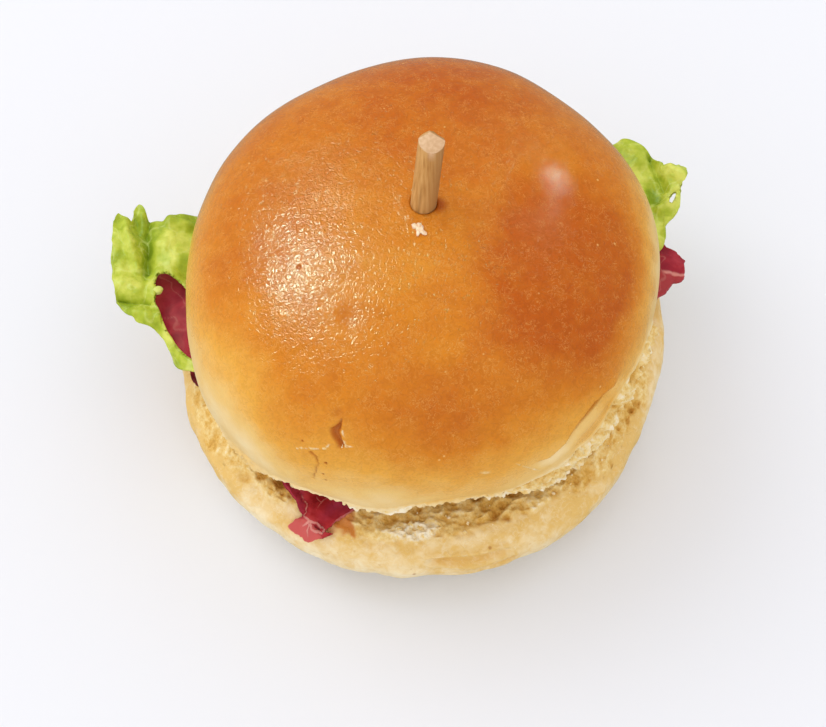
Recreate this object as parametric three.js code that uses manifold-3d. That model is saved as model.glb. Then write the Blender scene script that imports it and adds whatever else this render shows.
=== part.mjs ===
// Mini burger: a glazed round bun cut in two and filled with one frilly lettuce leaf and
// three thin slices of cured meat, all pinned together by a short bamboo stick.
// Millimetres, +Z up. The origin is the middle of the flat base of the bun's lower half,
// the front faces -Y and the leaf runs from the left (-X) to the right and rear.

import * as THREE from 'three';
import { mergeVertices } from 'three/addons/utils/BufferGeometryUtils.js';
import Module from 'manifold-3d';

const wasm = await Module();
wasm.setup();

// ---- Driving dimensions ------------------------------------------------------------

const GAP = 0.3; // clearance between pieces that lie on each other
const BUN_SEGMENTS = 54; // facets round each half of the bun
const CUT_RINGS = [0, 0.25, 0.5, 0.75, 0.95]; // rings on a cut face, as shares of its radius

// Lower half of the bun: flat base, rounded crust, cut face of crumb on top.
const HEEL = {
  radius: 34.5,
  widestHeight: 10.6,
  baseRadius: 20.5,
  cutHeight: 14.3,
  cutRadius: 31,
  cutHollow: 0.5,
  upperFullness: 2.0,
  ringCrowding: 1.6,
  // slow swells of the outline: waves round the bun, height over radius, bearing of a crest
  swells: [
    { waves: 2, height: 0.029, bearing: 44 },
    { waves: 3, height: 0.026, bearing: 44 },
    { waves: 4, height: 0.011, bearing: -42 },
    { waves: 7, height: 0.005, bearing: 0 },
  ],
};

// Upper half of the bun: a dome that curves in again below its widest ring.
const CROWN = {
  radius: 32.9,
  widestHeight: 30.1,
  domeHeight: 19.4,
  domeFullness: 2.36,
  skirtHeight: 10.3,
  skirtDepth: 20.6,
  skirtFullness: 2.2,
  rimRound: 0.7,
  cutHollow: 0.4,
  centreX: -0.7,
  leanX: -0.025,
  leanY: 0.02,
  // stretches of the rim that sag between the fillings: middle bearing, half spread, depth
  sagStart: 0.85,
  sags: [
    { bearing: -151, spread: 18, depth: 2.6 },
    { bearing: -86, spread: 18, depth: 1.6 },
    { bearing: -36, spread: 38, depth: 3.2 },
    { bearing: 100, spread: 46, depth: 2.4 },
  ],
  swells: [
    { waves: 2, height: 0.031, bearing: 50 },
    { waves: 3, height: 0.011, bearing: -11 },
    { waves: 4, height: 0.008, bearing: -40 },
    { waves: 5, height: 0.01, bearing: 14 },
    { waves: 6, height: 0.006, bearing: 20 },
  ],
};

// Bamboo stick: low cone on top, point in the crumb of the lower half.
const STICK = {
  radius: 1.75,
  facets: 16,
  tipHeight: 4.5,
  tipRadius: 0.3,
  shoulderHeight: 63.5,
  coneHeight: 1.1,
  coneFlat: 0.35,
  pointLength: 9,
  pivotHeight: 50,
  pivotX: -0.25,
  pivotY: 0.5,
  leanRight: 4.2,
  leanBack: 3.0,
};

// Lettuce: one leaf laid across the bun, on top of the meat.
const LEAF = {
  thickness: 0.6,
  restHeight: 18.45,
  flatRadius: 29,
  lengthSteps: 36,
  widthSteps: 12,
  // middle and half width across Y at stations along X, from the left end to the right end
  stations: [
    { x: -44, y: 10.6, half: 5.6 },
    { x: -39.5, y: 8.4, half: 9 },
    { x: -33, y: 4.6, half: 12 },
    { x: -16, y: 7, half: 14.5 },
    { x: 4, y: 12, half: 13 },
    { x: 24, y: 18.6, half: 10.6 },
    { x: 30.5, y: 19, half: 10 },
    { x: 34.5, y: 18.6, half: 6.4 },
    { x: 37.4, y: 21.6, half: 2.4 },
  ],
  // slope past the flat stretch: up towards the rear edge, down towards the front edge
  frontY: -2,
  rearY: 14,
  rearLift: 0.3,
  frontDroop: 0.06,
  // the ruffles grow between these distances past the flat stretch
  freeStart: 1,
  freeEnd: 7,
  ruffleHeight: 1.5,
  ruffleWaves: 7.5,
  ruffleSkew: 1.4,
  scallopDepth: 0.08,
  scallopWaves: 3.7,
};

// Torn opening in the left end of the leaf, where the slice below it shows.
const LEAF_TEAR = {
  x: -33.7,
  y: 0.6,
  halfLength: 7.6,
  halfWidth: 2.7,
  turn: -64,
  bottom: 5,
  height: 30,
};

// Cured meat: each slice lies flat in the bun and comes out at its own side.
const SLICE_THICKNESS = 0.9;
const SLICES = {
  slice_front: {
    restHeight: 14.6,
    path: [
      { x: 3, y: 14, half: 12 },
      { x: -4, y: 0, half: 17 },
      { x: -12.6, y: -19, half: 8.5 },
      { x: -14.2, y: -26, half: 4.6 },
      { x: -15.8, y: -30.6, half: 2.8 },
    ],
    flatRadius: 26,
    slope: -0.55,
    ridge: 1.3,
    ridgeWaves: 2,
    edgeWave: 0.12,
    colour: 0x9c2b38,
  },
  slice_right: {
    restHeight: 15.85,
    path: [
      { x: -14, y: -4, half: 14 },
      { x: 4, y: 2, half: 17 },
      { x: 22, y: 8, half: 9 },
      { x: 31, y: 9, half: 5.2 },
      { x: 34.8, y: 8.8, half: 3.4 },
      { x: 36.8, y: 8.8, half: 1.6 },
    ],
    flatRadius: 25,
    slope: 0.03,
    ridge: 0.8,
    ridgeWaves: 1,
    edgeWave: 0.1,
    colour: 0x992c3a,
  },
  slice_left: {
    restHeight: 17.1,
    path: [
      { x: 16, y: 4, half: 14 },
      { x: -4, y: 2, half: 17 },
      { x: -22, y: 2.5, half: 12 },
      { x: -31.5, y: 3.2, half: 7.8 },
      { x: -37, y: 5.6, half: 4.4 },
    ],
    flatRadius: 28,
    slope: -0.2,
    ridge: 0.4,
    ridgeWaves: 1,
    edgeWave: 0.06,
    colour: 0x8c2634,
  },
};
const SLICE_LENGTH_STEPS = 18;
const SLICE_WIDTH_STEPS = 8;
const SLICE_EDGE_WAVES = 2.7;
const SLICE_FREE_LENGTH = 6; // distance past the flat stretch over which the folds open

// ---- Shared geometry -----------------------------------------------------------------

const degrees = THREE.MathUtils.degToRad;
const clamp = THREE.MathUtils.clamp;
const smoothstep = THREE.MathUtils.smoothstep;

// Radius factor of an uneven round outline at one bearing.
function outline(swells, bearing) {
  let factor = 1;
  for (const swell of swells) {
    factor += swell.height * Math.cos(swell.waves * (bearing - degrees(swell.bearing)));
  }
  return factor;
}

// Share of the full radius left at a share of the height, on a superellipse.
function superellipse(share, fullness) {
  return Math.pow(1 - Math.pow(clamp(share, 0, 1), fullness), 1 / fullness);
}

// Height of the lower half's top surface, cut face and crust, at a place on the plan.
function heelTop(x, y) {
  const reach = Math.hypot(x, y) / outline(HEEL.swells, Math.atan2(y, x));
  if (reach <= HEEL.cutRadius) return HEEL.cutHeight;
  const share = clamp(reach / HEEL.radius, 0, 1);
  const rise = heelUpperHeight() * superellipse(share, HEEL.upperFullness);
  return HEEL.widestHeight + rise;
}

// Height of the upper crust's full ellipse, of which the cut leaves only the lower part.
function heelUpperHeight() {
  const cut = superellipse(HEEL.cutRadius / HEEL.radius, HEEL.upperFullness);
  return (HEEL.cutHeight - HEEL.widestHeight) / cut;
}

// A solid of revolution about Z from a profile of [radius, height], ends on the axis.
function turned(profile, segments) {
  const points = profile.map(([radius, height]) => new THREE.Vector2(radius, height));
  const lathe = new THREE.LatheGeometry(points, segments);
  lathe.rotateX(Math.PI / 2);
  return welded(lathe);
}

// Keeps positions only and shares the vertices that lie on each other.
function welded(geometry) {
  geometry.deleteAttribute('normal');
  geometry.deleteAttribute('uv');
  return mergeVertices(geometry);
}

// Moves every vertex of a geometry by a function of its position.
function reshape(geometry, move) {
  const position = geometry.attributes.position;
  const point = new THREE.Vector3();
  for (let i = 0; i < position.count; i += 1) {
    point.fromBufferAttribute(position, i);
    move(point);
    position.setXYZ(i, point.x, point.y, point.z);
  }
  return geometry;
}

// Boolean difference of two closed geometries.
function cut(geometry, ...cutters) {
  let solid = toSolid(geometry);
  for (const cutter of cutters) solid = solid.subtract(toSolid(cutter));
  const mesh = solid.getMesh();
  const result = new THREE.BufferGeometry();
  result.setAttribute('position', new THREE.BufferAttribute(mesh.vertProperties, 3));
  result.setIndex(new THREE.BufferAttribute(mesh.triVerts, 1));
  return result;
}

function toSolid(geometry) {
  const vertProperties = new Float32Array(geometry.attributes.position.array);
  const triVerts = new Uint32Array(geometry.index.array);
  return new wasm.Manifold(new wasm.Mesh({ numProp: 3, vertProperties, triVerts }));
}

// A thin closed sheet: middle(u, v) is its middle surface for u and v from 0 to 1.
function sheet(middle, uSteps, vSteps, thickness) {
  const rows = uSteps + 1;
  const columns = vSteps + 1;
  const positions = [];
  for (const side of [0.5, -0.5]) {
    for (let i = 0; i < rows; i += 1) {
      for (let j = 0; j < columns; j += 1) {
        const place = middle(i / uSteps, j / vSteps);
        place.z += side * thickness;
        positions.push(place.x, place.y, place.z);
      }
    }
  }
  const at = (side, i, j) => side * rows * columns + i * columns + j;
  const index = [];
  const quad = (a, b, c, d) => index.push(a, b, c, a, c, d);
  for (let i = 0; i < uSteps; i += 1) {
    for (let j = 0; j < vSteps; j += 1) {
      quad(at(0, i, j), at(0, i + 1, j), at(0, i + 1, j + 1), at(0, i, j + 1));
      quad(at(1, i, j), at(1, i, j + 1), at(1, i + 1, j + 1), at(1, i + 1, j));
    }
    quad(at(0, i, 0), at(1, i, 0), at(1, i + 1, 0), at(0, i + 1, 0));
    quad(at(0, i + 1, vSteps), at(1, i + 1, vSteps), at(1, i, vSteps), at(0, i, vSteps));
  }
  for (let j = 0; j < vSteps; j += 1) {
    quad(at(0, 0, j + 1), at(1, 0, j + 1), at(1, 0, j), at(0, 0, j));
    quad(at(0, uSteps, j), at(1, uSteps, j), at(1, uSteps, j + 1), at(0, uSteps, j + 1));
  }
  const geometry = new THREE.BufferGeometry();
  geometry.setAttribute('position', new THREE.Float32BufferAttribute(positions, 3));
  geometry.setIndex(index);
  return geometry;
}

// A smooth path with a half width, given at a few stations: place(share) along it.
function widePath(stations) {
  const points = stations.map((s) => new THREE.Vector3(s.x, s.y, s.half));
  const curve = new THREE.CatmullRomCurve3(points);
  return (share) => {
    const place = curve.getPoint(share);
    const along = curve.getTangent(share).setZ(0).normalize();
    const across = new THREE.Vector2(-along.y, along.x);
    return { x: place.x, y: place.y, half: place.z, across };
  };
}

function named(name, geometry, color, roughness) {
  geometry.computeVertexNormals();
  const material = new THREE.MeshStandardMaterial({ color, roughness, metalness: 0 });
  const mesh = new THREE.Mesh(geometry, material);
  mesh.name = name;
  return mesh;
}

// ---- Stick ----------------------------------------------------------------------------

// The stick grown by a clearance all round, leaning about the point where it enters the crust.
function stickShape(clearance) {
  const radius = STICK.radius + clearance;
  const tip = STICK.tipHeight - clearance * 2;
  const profile = [
    [0, tip],
    [STICK.tipRadius + clearance, tip],
    [radius, tip + STICK.pointLength],
    [radius, STICK.shoulderHeight],
    [STICK.coneFlat, STICK.shoulderHeight + STICK.coneHeight],
    [0, STICK.shoulderHeight + STICK.coneHeight],
  ];
  const stick = turned(profile, STICK.facets);
  stick.translate(0, 0, -STICK.pivotHeight);
  stick.rotateY(degrees(STICK.leanRight));
  stick.rotateX(degrees(-STICK.leanBack));
  stick.translate(STICK.pivotX, STICK.pivotY, STICK.pivotHeight);
  return stick;
}

// ---- Bun ------------------------------------------------------------------------------

// Lower crust as rings of [radius, height], from the flat base up to the cut rim.
function heelProfile() {
  const profile = [[0, 0], [HEEL.baseRadius * 0.5, 0], [HEEL.baseRadius, 0]];
  const lowerSteps = 7;
  for (let i = 1; i <= lowerSteps; i += 1) {
    const angle = (Math.PI / 2) * (i / lowerSteps);
    const reach = (HEEL.radius - HEEL.baseRadius) * Math.sin(angle);
    profile.push([HEEL.baseRadius + reach, HEEL.widestHeight * (1 - Math.cos(angle))]);
  }
  const upperSteps = 4;
  for (let i = 1; i <= upperSteps; i += 1) {
    const inward = Math.pow(i / upperSteps, HEEL.ringCrowding);
    const radius = THREE.MathUtils.lerp(HEEL.radius, HEEL.cutRadius, inward);
    const rise = heelUpperHeight() * superellipse(radius / HEEL.radius, HEEL.upperFullness);
    profile.push([radius, HEEL.widestHeight + rise]);
  }
  for (const share of [...CUT_RINGS].reverse()) {
    const hollow = HEEL.cutHollow * (1 - share * share);
    profile.push([HEEL.cutRadius * share, HEEL.cutHeight - hollow]);
  }
  return profile;
}

function heel() {
  const body = turned(heelProfile(), BUN_SEGMENTS);
  reshape(body, (point) => {
    const factor = outline(HEEL.swells, Math.atan2(point.y, point.x));
    point.x *= factor;
    point.y *= factor;
  });
  return named('heel', cut(body, stickShape(GAP)), 0xe6c383, 0.7);
}

// Upper half as rings of [radius, height above the widest ring], from its cut face up.
function crownProfile() {
  const rimRadius = CROWN.radius * skirtShare(CROWN.skirtHeight);
  const profile = [];
  for (const share of CUT_RINGS) {
    const hollow = CROWN.cutHollow * (1 - share * share);
    profile.push([(rimRadius - CROWN.rimRound) * share, hollow - CROWN.skirtHeight]);
  }
  profile.push([rimRadius - CROWN.rimRound, -CROWN.skirtHeight]);
  const skirtSteps = 5;
  for (let i = 0; i < skirtSteps; i += 1) {
    const depth = (CROWN.skirtHeight - CROWN.rimRound) * (1 - i / skirtSteps);
    profile.push([CROWN.radius * skirtShare(depth), -depth]);
  }
  const domeSteps = 14;
  for (let i = 0; i <= domeSteps; i += 1) {
    const angle = (Math.PI / 2) * (i / domeSteps);
    const radius = CROWN.radius * Math.pow(Math.cos(angle), 2 / CROWN.domeFullness);
    const height = CROWN.domeHeight * Math.pow(Math.sin(angle), 2 / CROWN.domeFullness);
    profile.push([i === domeSteps ? 0 : radius, height]);
  }
  return profile;
}

// Share of the widest radius left at a depth below the widest ring.
function skirtShare(depth) {
  return superellipse(depth / CROWN.skirtDepth, CROWN.skirtFullness);
}

// How far the rim sags at one bearing.
function rimSag(bearing) {
  let depth = 0;
  for (const sag of CROWN.sags) {
    const turn = THREE.MathUtils.euclideanModulo(bearing - degrees(sag.bearing) + Math.PI, 2 * Math.PI);
    const away = Math.abs(turn - Math.PI) / degrees(sag.spread);
    depth += sag.depth * smoothstep(1 - away, 0, 1);
  }
  return depth;
}

// Share of the rim's sag that reaches a point of the cut face or the skirt.
function sagShare(radius, height) {
  const rimRadius = CROWN.radius * skirtShare(CROWN.skirtHeight);
  const down = smoothstep(-height / CROWN.skirtHeight, 0, 1);
  return down * smoothstep(radius / rimRadius, CROWN.sagStart, 1);
}

function crown() {
  const body = turned(crownProfile(), BUN_SEGMENTS);
  reshape(body, (point) => {
    const bearing = Math.atan2(point.y, point.x);
    const factor = outline(CROWN.swells, bearing);
    const sag = rimSag(bearing) * sagShare(Math.hypot(point.x, point.y), point.z);
    const x = point.x * factor;
    const y = point.y * factor;
    const height = point.z - sag;
    point.x = CROWN.centreX + x - CROWN.leanX * height;
    point.y = y - CROWN.leanY * height;
    point.z = CROWN.widestHeight + height + CROWN.leanX * x + CROWN.leanY * y;
  });
  return named('crown', cut(body, stickShape(GAP)), 0xd07a30, 0.35);
}

// ---- Fillings -------------------------------------------------------------------------

// Height of the leaf at a place: flat inside the bun, lifted at the rear, drooping in front.
function leafHeight(x, y, share, across) {
  const outside = Math.max(0, Math.hypot(x, y) - LEAF.flatRadius);
  const rear = smoothstep(y, LEAF.frontY, LEAF.rearY);
  const slope = THREE.MathUtils.lerp(-LEAF.frontDroop, LEAF.rearLift, rear);
  const edge = Math.abs(across);
  const phase = share * LEAF.ruffleWaves * 2 * Math.PI + across * LEAF.ruffleSkew;
  const ruffle = Math.sin(phase) * edge;
  const free = smoothstep(outside, LEAF.freeStart, LEAF.freeEnd);
  return LEAF.restHeight + slope * outside + LEAF.ruffleHeight * ruffle * free;
}

// Opening with a lens-shaped outline, cut straight down through the leaf.
function tearCutter() {
  const shape = new THREE.Shape();
  shape.absellipse(0, 0, LEAF_TEAR.halfLength, LEAF_TEAR.halfWidth, 0, Math.PI * 2);
  const options = { depth: LEAF_TEAR.height, bevelEnabled: false, curveSegments: 10 };
  const cutter = new THREE.ExtrudeGeometry(shape, options);
  cutter.rotateZ(degrees(LEAF_TEAR.turn));
  cutter.translate(LEAF_TEAR.x, LEAF_TEAR.y, LEAF_TEAR.bottom);
  return welded(cutter);
}

function lettuce() {
  const place = widePath(LEAF.stations);
  const middle = (share, v) => {
    const station = place(share);
    const across = v * 2 - 1;
    const lobe = Math.sin(share * LEAF.scallopWaves * 2 * Math.PI + 1) * Math.abs(across);
    const reach = station.half * across * (1 + LEAF.scallopDepth * lobe);
    const y = station.y + reach;
    return new THREE.Vector3(station.x, y, leafHeight(station.x, y, share, across));
  };
  const leaf = sheet(middle, LEAF.lengthSteps, LEAF.widthSteps, LEAF.thickness);
  return named('lettuce', cut(leaf, tearCutter(), stickShape(GAP)), 0xa9c83c, 0.5);
}

// Height of a slice's underside at a place: its own layer, then sloping off past the cut face,
// but never into the crust that it hangs over.
function sliceRest(slice, x, y) {
  const outside = Math.max(0, Math.hypot(x, y) - slice.flatRadius);
  return Math.max(slice.restHeight + slice.slope * outside, heelTop(x, y) + GAP);
}

function meatSlice(name) {
  const slice = SLICES[name];
  const place = widePath(slice.path);
  const middle = (share, v) => {
    const station = place(share);
    const across = v * 2 - 1;
    const phase = share * SLICE_EDGE_WAVES * 2 * Math.PI + across;
    const reach = station.half * across * (1 + slice.edgeWave * Math.sin(phase));
    const x = station.x + station.across.x * reach;
    const y = station.y + station.across.y * reach;
    const outside = Math.hypot(x, y) - slice.flatRadius;
    const free = smoothstep(outside, 0, SLICE_FREE_LENGTH);
    const fold = 0.5 - 0.5 * Math.cos(slice.ridgeWaves * 2 * Math.PI * v);
    const height = sliceRest(slice, x, y) + SLICE_THICKNESS / 2 + slice.ridge * fold * free;
    return new THREE.Vector3(x, y, height);
  };
  const body = sheet(middle, SLICE_LENGTH_STEPS, SLICE_WIDTH_STEPS, SLICE_THICKNESS);
  return named(name, cut(body, stickShape(GAP)), slice.colour, 0.4);
}

// ---- The burger -------------------------------------------------------------------------

const burger = new THREE.Group();
burger.add(heel());
for (const name of Object.keys(SLICES)) burger.add(meatSlice(name));
burger.add(lettuce());
burger.add(crown());
burger.add(named('skewer', stickShape(0), 0xd2a56b, 0.6));

export default burger;
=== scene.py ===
import math
import random

import bpy
import numpy as np
from mathutils import Euler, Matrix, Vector, noise


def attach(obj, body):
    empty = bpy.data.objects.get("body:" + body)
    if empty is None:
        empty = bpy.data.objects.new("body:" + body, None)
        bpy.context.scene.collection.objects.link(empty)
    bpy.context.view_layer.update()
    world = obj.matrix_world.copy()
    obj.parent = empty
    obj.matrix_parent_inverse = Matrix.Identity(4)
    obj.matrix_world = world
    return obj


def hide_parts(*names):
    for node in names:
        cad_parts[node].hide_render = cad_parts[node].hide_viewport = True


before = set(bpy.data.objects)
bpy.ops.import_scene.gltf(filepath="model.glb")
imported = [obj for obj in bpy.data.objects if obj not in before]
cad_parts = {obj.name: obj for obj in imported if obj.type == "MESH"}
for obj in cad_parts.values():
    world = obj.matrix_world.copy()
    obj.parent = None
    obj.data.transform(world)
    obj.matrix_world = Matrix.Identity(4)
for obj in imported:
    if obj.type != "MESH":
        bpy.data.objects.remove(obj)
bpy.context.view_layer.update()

# A mini burger: a glazed bun cut in two, a frilly lettuce leaf, three slices of cured
# meat and a bamboo stick. Sizes below are in millimetres and are built in metres.

MM = 0.001

HEEL = {
    "radius": 34.5,
    "widest_height": 10.6,
    "base_radius": 20.5,
    "cut_height": 14.3,
    "cut_radius": 31.0,
    # segments round the bun; the mesh is finer beyond a reach, most of all above a height,
    # and on the front beyond a place along Y, between two heights
    "segments": 48,
    "fine_reach": 24.5,
    "fine_rim": 12.4,
    "fine_front": (-8, 2.5, 12.5),
    # waves round the bun, height over radius, bearing of a crest
    "swells": ((2, 0.029, 44), (3, 0.026, 44), (4, 0.011, -42), (7, 0.005, 0)),
}
# stretches where the crumb reaches further out or is heaped up: bearing, half spread, mm
HEEL_CRUMB_REACH = (
    (-26, 46, 2.8),
    (-160, 42, 3.2),
    (-131, 18, 0.6),
    (-104, 15, 1.1),
    (100, 60, 0.8),
)
HEEL_CRUMB_HEAP = ((-160, 26, 1.6), (-139, 13, 0.5), (-18, 40, 0.8), (-62, 22, 0.5))
# stretches of the lower crust that are more golden
HEEL_TAN = ((-164, 34, 0.55), (-107, 20, 0.3), (-68, 26, 0.26), (-30, 50, 0.35))
# folds in the lower crust, as chains of (x, y, z, half width)
HEEL_CREASES = (
    ((-8, -32.6, 10.4, 0.1), (-3.5, -33.4, 9.6, 0.25), (4, -33.2, 9.2, 0.25), (12, -32.0, 9.8, 0.1)),
    ((1, -34.0, 12.2, 0.1), (6, -33.4, 11.6, 0.2), (11, -32.3, 11.9, 0.1)),
    ((-16, -26.5, 3.2, 0.1), (-6, -29.6, 3.4, 0.3), (4, -29.4, 4.0, 0.3), (13, -27.6, 5.2, 0.1)),
)

# sauce smeared on the lower half: middle x, y, half length along X, along Y
SAUCE = (-11.6, -28.7, 2.0, 2.0)
SAUCE_STREAK = (
    (-12.0, -28.0, 14.4, 0.1),
    (-10.4, -29.3, 14.4, 0.5),
    (-10.0, -30.6, 14.2, 0.3),
    (-9.5, -31.9, 13.8, 0.02),
)
# a whiter, more torn place in the crumb: middle x, y, half length along X, along Y
WHITE_CRUMB = (-1.2, -30.6, 3.6, 1.6)

CROWN = {
    "radius": 32.9,
    "widest_height": 30.1,
    "dome_height": 19.4,
    "dome_fullness": 2.36,
    "skirt_height": 10.3,
    "skirt_depth": 20.6,
    "skirt_fullness": 2.2,
    "rim_round": 0.7,
    "centre_x": -0.7,
    "lean_x": -0.025,
    "lean_y": 0.02,
    "sag_start": 0.85,
    # segments round the bun; below a height and beyond a reach the rim's mesh is finer
    "segments": 52,
    "fine_rim": (-6.0, 28.0),
    "fine_torn_side": (4.6, 26.0),
    # the crumb is open, and the rim hangs, beyond this reach
    "open_reach": 24,
    "swells": ((2, 0.031, 50), (3, 0.011, -11), (4, 0.008, -40), (5, 0.01, 14), (6, 0.006, 20)),
    # stretches of the rim that sag between the fillings: bearing, half spread, depth
    "sags": (
        (-151, 18, 2.6),
        (-117, 17, -2.4),
        (-100, 8, 0.6),
        (-84, 17, -1.9),
        (-36, 38, 3.2),
        (100, 46, 2.4),
    ),
}
# how far below the widest place the crust ends, by bearing; torn crumb hangs below it
CRUST_END = (
    (-180, 10.2),
    (-132, 10.1),
    (-124, 8.2),
    (-72, 8.0),
    (-66, 7.0),
    (-61, 4.6),
    (-54, 4.6),
    (-51, 4.4),
    (-48.5, 1.4),
    (-45, 2.6),
    (-41, 1.2),
    (-38.5, -0.6),
    (-35, -2.3),
    (-30, -2.1),
    (-23, -1.6),
    (-17, -2.0),
    (-11, 0),
    (-5, 5),
    (2, 10),
    (50, 8.2),
    (140, 8.2),
    (170, 10.2),
    (180, 10.2),
)
# bearings between which the torn crumb bulges out, and the bearing it takes to grow
TORN_SIDE = (-68, -2, 9)

# darker and paler patches of the upper crust: x, y, radius, amount
TAN_PATCHES = (
    (21, -9, 20, 0.44),
    (-3, -7, 18, -0.15),
    (2, -21, 10, -0.14),
    (-14, 18, 16, -0.07),
    (0, 30, 30, 0.14),
    (17, -2, 11, 0.07),
    (-26, -20, 15, -0.14),
    (4, -27, 15, 0.17),
    (27, -15, 7, -0.08),
)

# stretches of the flank that are paler: bearing, half spread, amount
PALE_FLANKS = ((0, 48, 0.42), (-163, 60, 0.12))

# the stretch of upper crust that holds the slit and its cracks: x, y, z and radius
MARKED_PLACE = (-13.4, -29.4, 37.4, 7.2)
# marks on the upper crust, as chains of (x, y, z, half width)
SLIT = (
    (-11.0, -27.8, 41.1, 0.05),
    (-11.35, -28.3, 40.4, 0.36),
    (-11.95, -28.85, 39.6, 0.62),
    (-11.65, -29.5, 38.85, 0.5),
    (-11.15, -30.05, 38.15, 0.44),
)
SLIT_LIP = (
    (-10.8, -28.2, 40.7, 0.02),
    (-10.9, -28.95, 39.85, 0.05),
    (-10.8, -29.5, 39.2, 0.08),
    (-10.5, -30.1, 38.15, 0.12),
    (-9.5, -30.2, 38.3, 0.03),
)
TORN_LINE = (
    (-16.9, -29.2, 36.0, 0.06),
    (-15.9, -29.4, 36.6, 0.12),
    (-15.0, -29.7, 36.8, 0.1),
    (-14.1, -29.9, 37.1, 0.04),
    (-13.1, -30.0, 37.4, 0.12),
    (-12.5, -29.7, 38.3, 0.0),
)
CRACK = (
    (-15.1, -29.9, 36.1, 0.16),
    (-14.5, -30.3, 35.7, 0.1),
    (-14.2, -30.7, 34.6, 0.03),
    (-14.5, -31.0, 33.1, 0.02),
    (-15.1, -31.0, 30.3, 0.0),
)
# pits: x, y, z, radius, depth
PITS = (
    (-13.2, -31.0, 35.0, 0.26, 0.3),
    (-13.6, -31.3, 32.6, 0.18, 0.2),
    (-13.2, -31.5, 31.3, 0.16, 0.2),
    (-16.2, -28.9, 37.4, 0.2, 0.2),
    (-16.75, -8.4, 47.6, 0.34, 0.2),
    (-10.2, -15.9, 47.3, 1.7, 0.32),
    (-11.5, -27.3, 41.9, 1.0, 0.25),
)
# a pit as wide as this needs no finer mesh
WIDE_PIT = 1.5
# short pale tears low on the front
SMALL_TEARS = (
    ((-7.2, -32.5, 28.4, 0.0), (-6.1, -32.6, 29.7, 0.06), (-4.6, -32.6, 31.1, 0.0)),
    ((11.9, -29.2, 31.8, 0.0), (13.9, -28.5, 29.3, 0.06), (15.9, -27.0, 25.8, 0.0)),
    ((6.6, -30.9, 31.5, 0.05), (7.6, -30.7, 31.7, 0.15), (8.3, -30.5, 31.9, 0.05)),
)
# the fold at the right, above a pale flap
CREASE = (
    (16.6, -26.8, 30.0, 0),
    (18.7, -25.6, 31.1, 0.1),
    (19.5, -25.1, 32.2, 0.25),
    (20.6, -24.0, 33.1, 0.5),
    (22.7, -21.7, 34.0, 0.65),
    (23.8, -20.4, 34.2, 0.3),
    (24.9, -19.0, 34.0, 0),
)

STICK = {
    "radius": 1.75,
    "tip_height": 4.5,
    "tip_radius": 0.3,
    "point_length": 9.0,
    "top_height": 63.9,
    # the top is cut to an apex off the middle: its x and y, and the way each cut faces
    "apex": (-0.3, 1.07),
    "cuts": ((0, -0.34, 1), (-0.75, 0.85, 0.9), (0.65, 0.85, 0.9)),
    # where a split runs up the side
    "split": (-0.75, -1.58),
    "pivot": (-0.25, 0.5, 50.0),
    "lean_right": 4.2,
    "lean_back": 3.0,
}

# the smoothest place of the glaze: x, y, z and radius
SMOOTH_GLAZE = (17.5, 5.0, 47.0, 10.5)

# where the stick comes out of the upper crust
STICK_EXIT = (-0.3, 0.5, 49.5)
# the middle of the painted shadow that the stick and its hole cast on the crust beside it
STICK_SHADE = (1.6, 0.1)

LEAF_THICKNESS = 0.35
LEAF_HEIGHT = 18.5
# within this reach the leaf lies flat between the halves
LEAF_FLAT_REACH = 29.5
# place along X, front edge and rear edge, from the left end to the right end
LEAF_EDGES = (
    (-44.2, 11.5, 16.5),
    (-43.6, 6.0, 17.9),
    (-42.9, 3.6, 17.6),
    (-41.8, 1.9, 16.6),
    (-40.9, 1.2, 19.2),
    (-40.2, 0.6, 19.3),
    (-39.3, 0.1, 17.4),
    (-37.5, -1.0, 16.6),
    (-36.2, -2.3, 17.3),
    (-35.3, -4.8, 17.7),
    (-34.6, -6.4, 17.8),
    (-33.0, -7.3, 17.8),
    (-30.5, -7.9, 18.0),
    (-24.0, -7.0, 20.0),
    (-10.0, -5.0, 22.0),
    (4.0, -2.0, 25.0),
    (18.0, 4.0, 28.0),
    (26.0, 8.0, 29.2),
    (28.7, 9.5, 30.5),
    (31.1, 10.8, 29.3),
    (32.9, 11.9, 27.3),
    (33.8, 13.0, 26.5),
    (34.0, 15.7, 26.1),
    (34.7, 16.8, 25.8),
    (35.4, 17.7, 25.7),
    (36.0, 18.7, 25.7),
    (36.25, 20.2, 25.7),
    (36.5, 22.4, 25.7),
    (36.9, 23.1, 25.6),
    (37.3, 24.0, 25.1),
)
# folds across the leaf: from x, y to x, y, half width, height
LEAF_FOLDS = (
    (-36.2, 11.9, -34.8, 10.6, 2.6, 1.5),
    (-39.2, 17.0, -38.9, 8.6, 0.9, -1.3),
    (-42.6, 16.4, -40.6, 8.8, 0.8, 1.0),
    (-41.2, 17.6, -40.0, 13.2, 0.6, -0.7),
    (-42.4, 6.4, -40.6, 6.0, 1.7, 0.9),
    (-43.4, 4.4, -38.4, 3.4, 0.5, -0.8),
    (-40.4, 2.2, -37.6, 0.6, 1.0, 0.7),
    (-36.0, 16.4, -33.6, 15.8, 0.9, 0.9),
    (29.6, 28.6, 31.6, 24.6, 1.3, 0.6),
    (31.4, 25.0, 33.0, 20.5, 1.4, -0.9),
    (32.2, 27.4, 34.2, 22.0, 0.7, -1.0),
    (35.0, 25.0, 36.6, 24.0, 1.2, 1.1),
    (33.4, 18.6, 35.6, 20.2, 0.9, 0.8),
    (31.5, 15.0, 33.4, 13.0, 0.8, 0.6),
)
# openings: middle x, y, half length, half width, turn
LEAF_TEAR = (-33.6, 0.4, 8.2, 2.9, -64)
LEAF_NICK = (35.2, 20.3, 1.2, 0.48, 67)
LEAF_BITE = (36.85, 21.9, 0.6, 0.6, 25)
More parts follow.
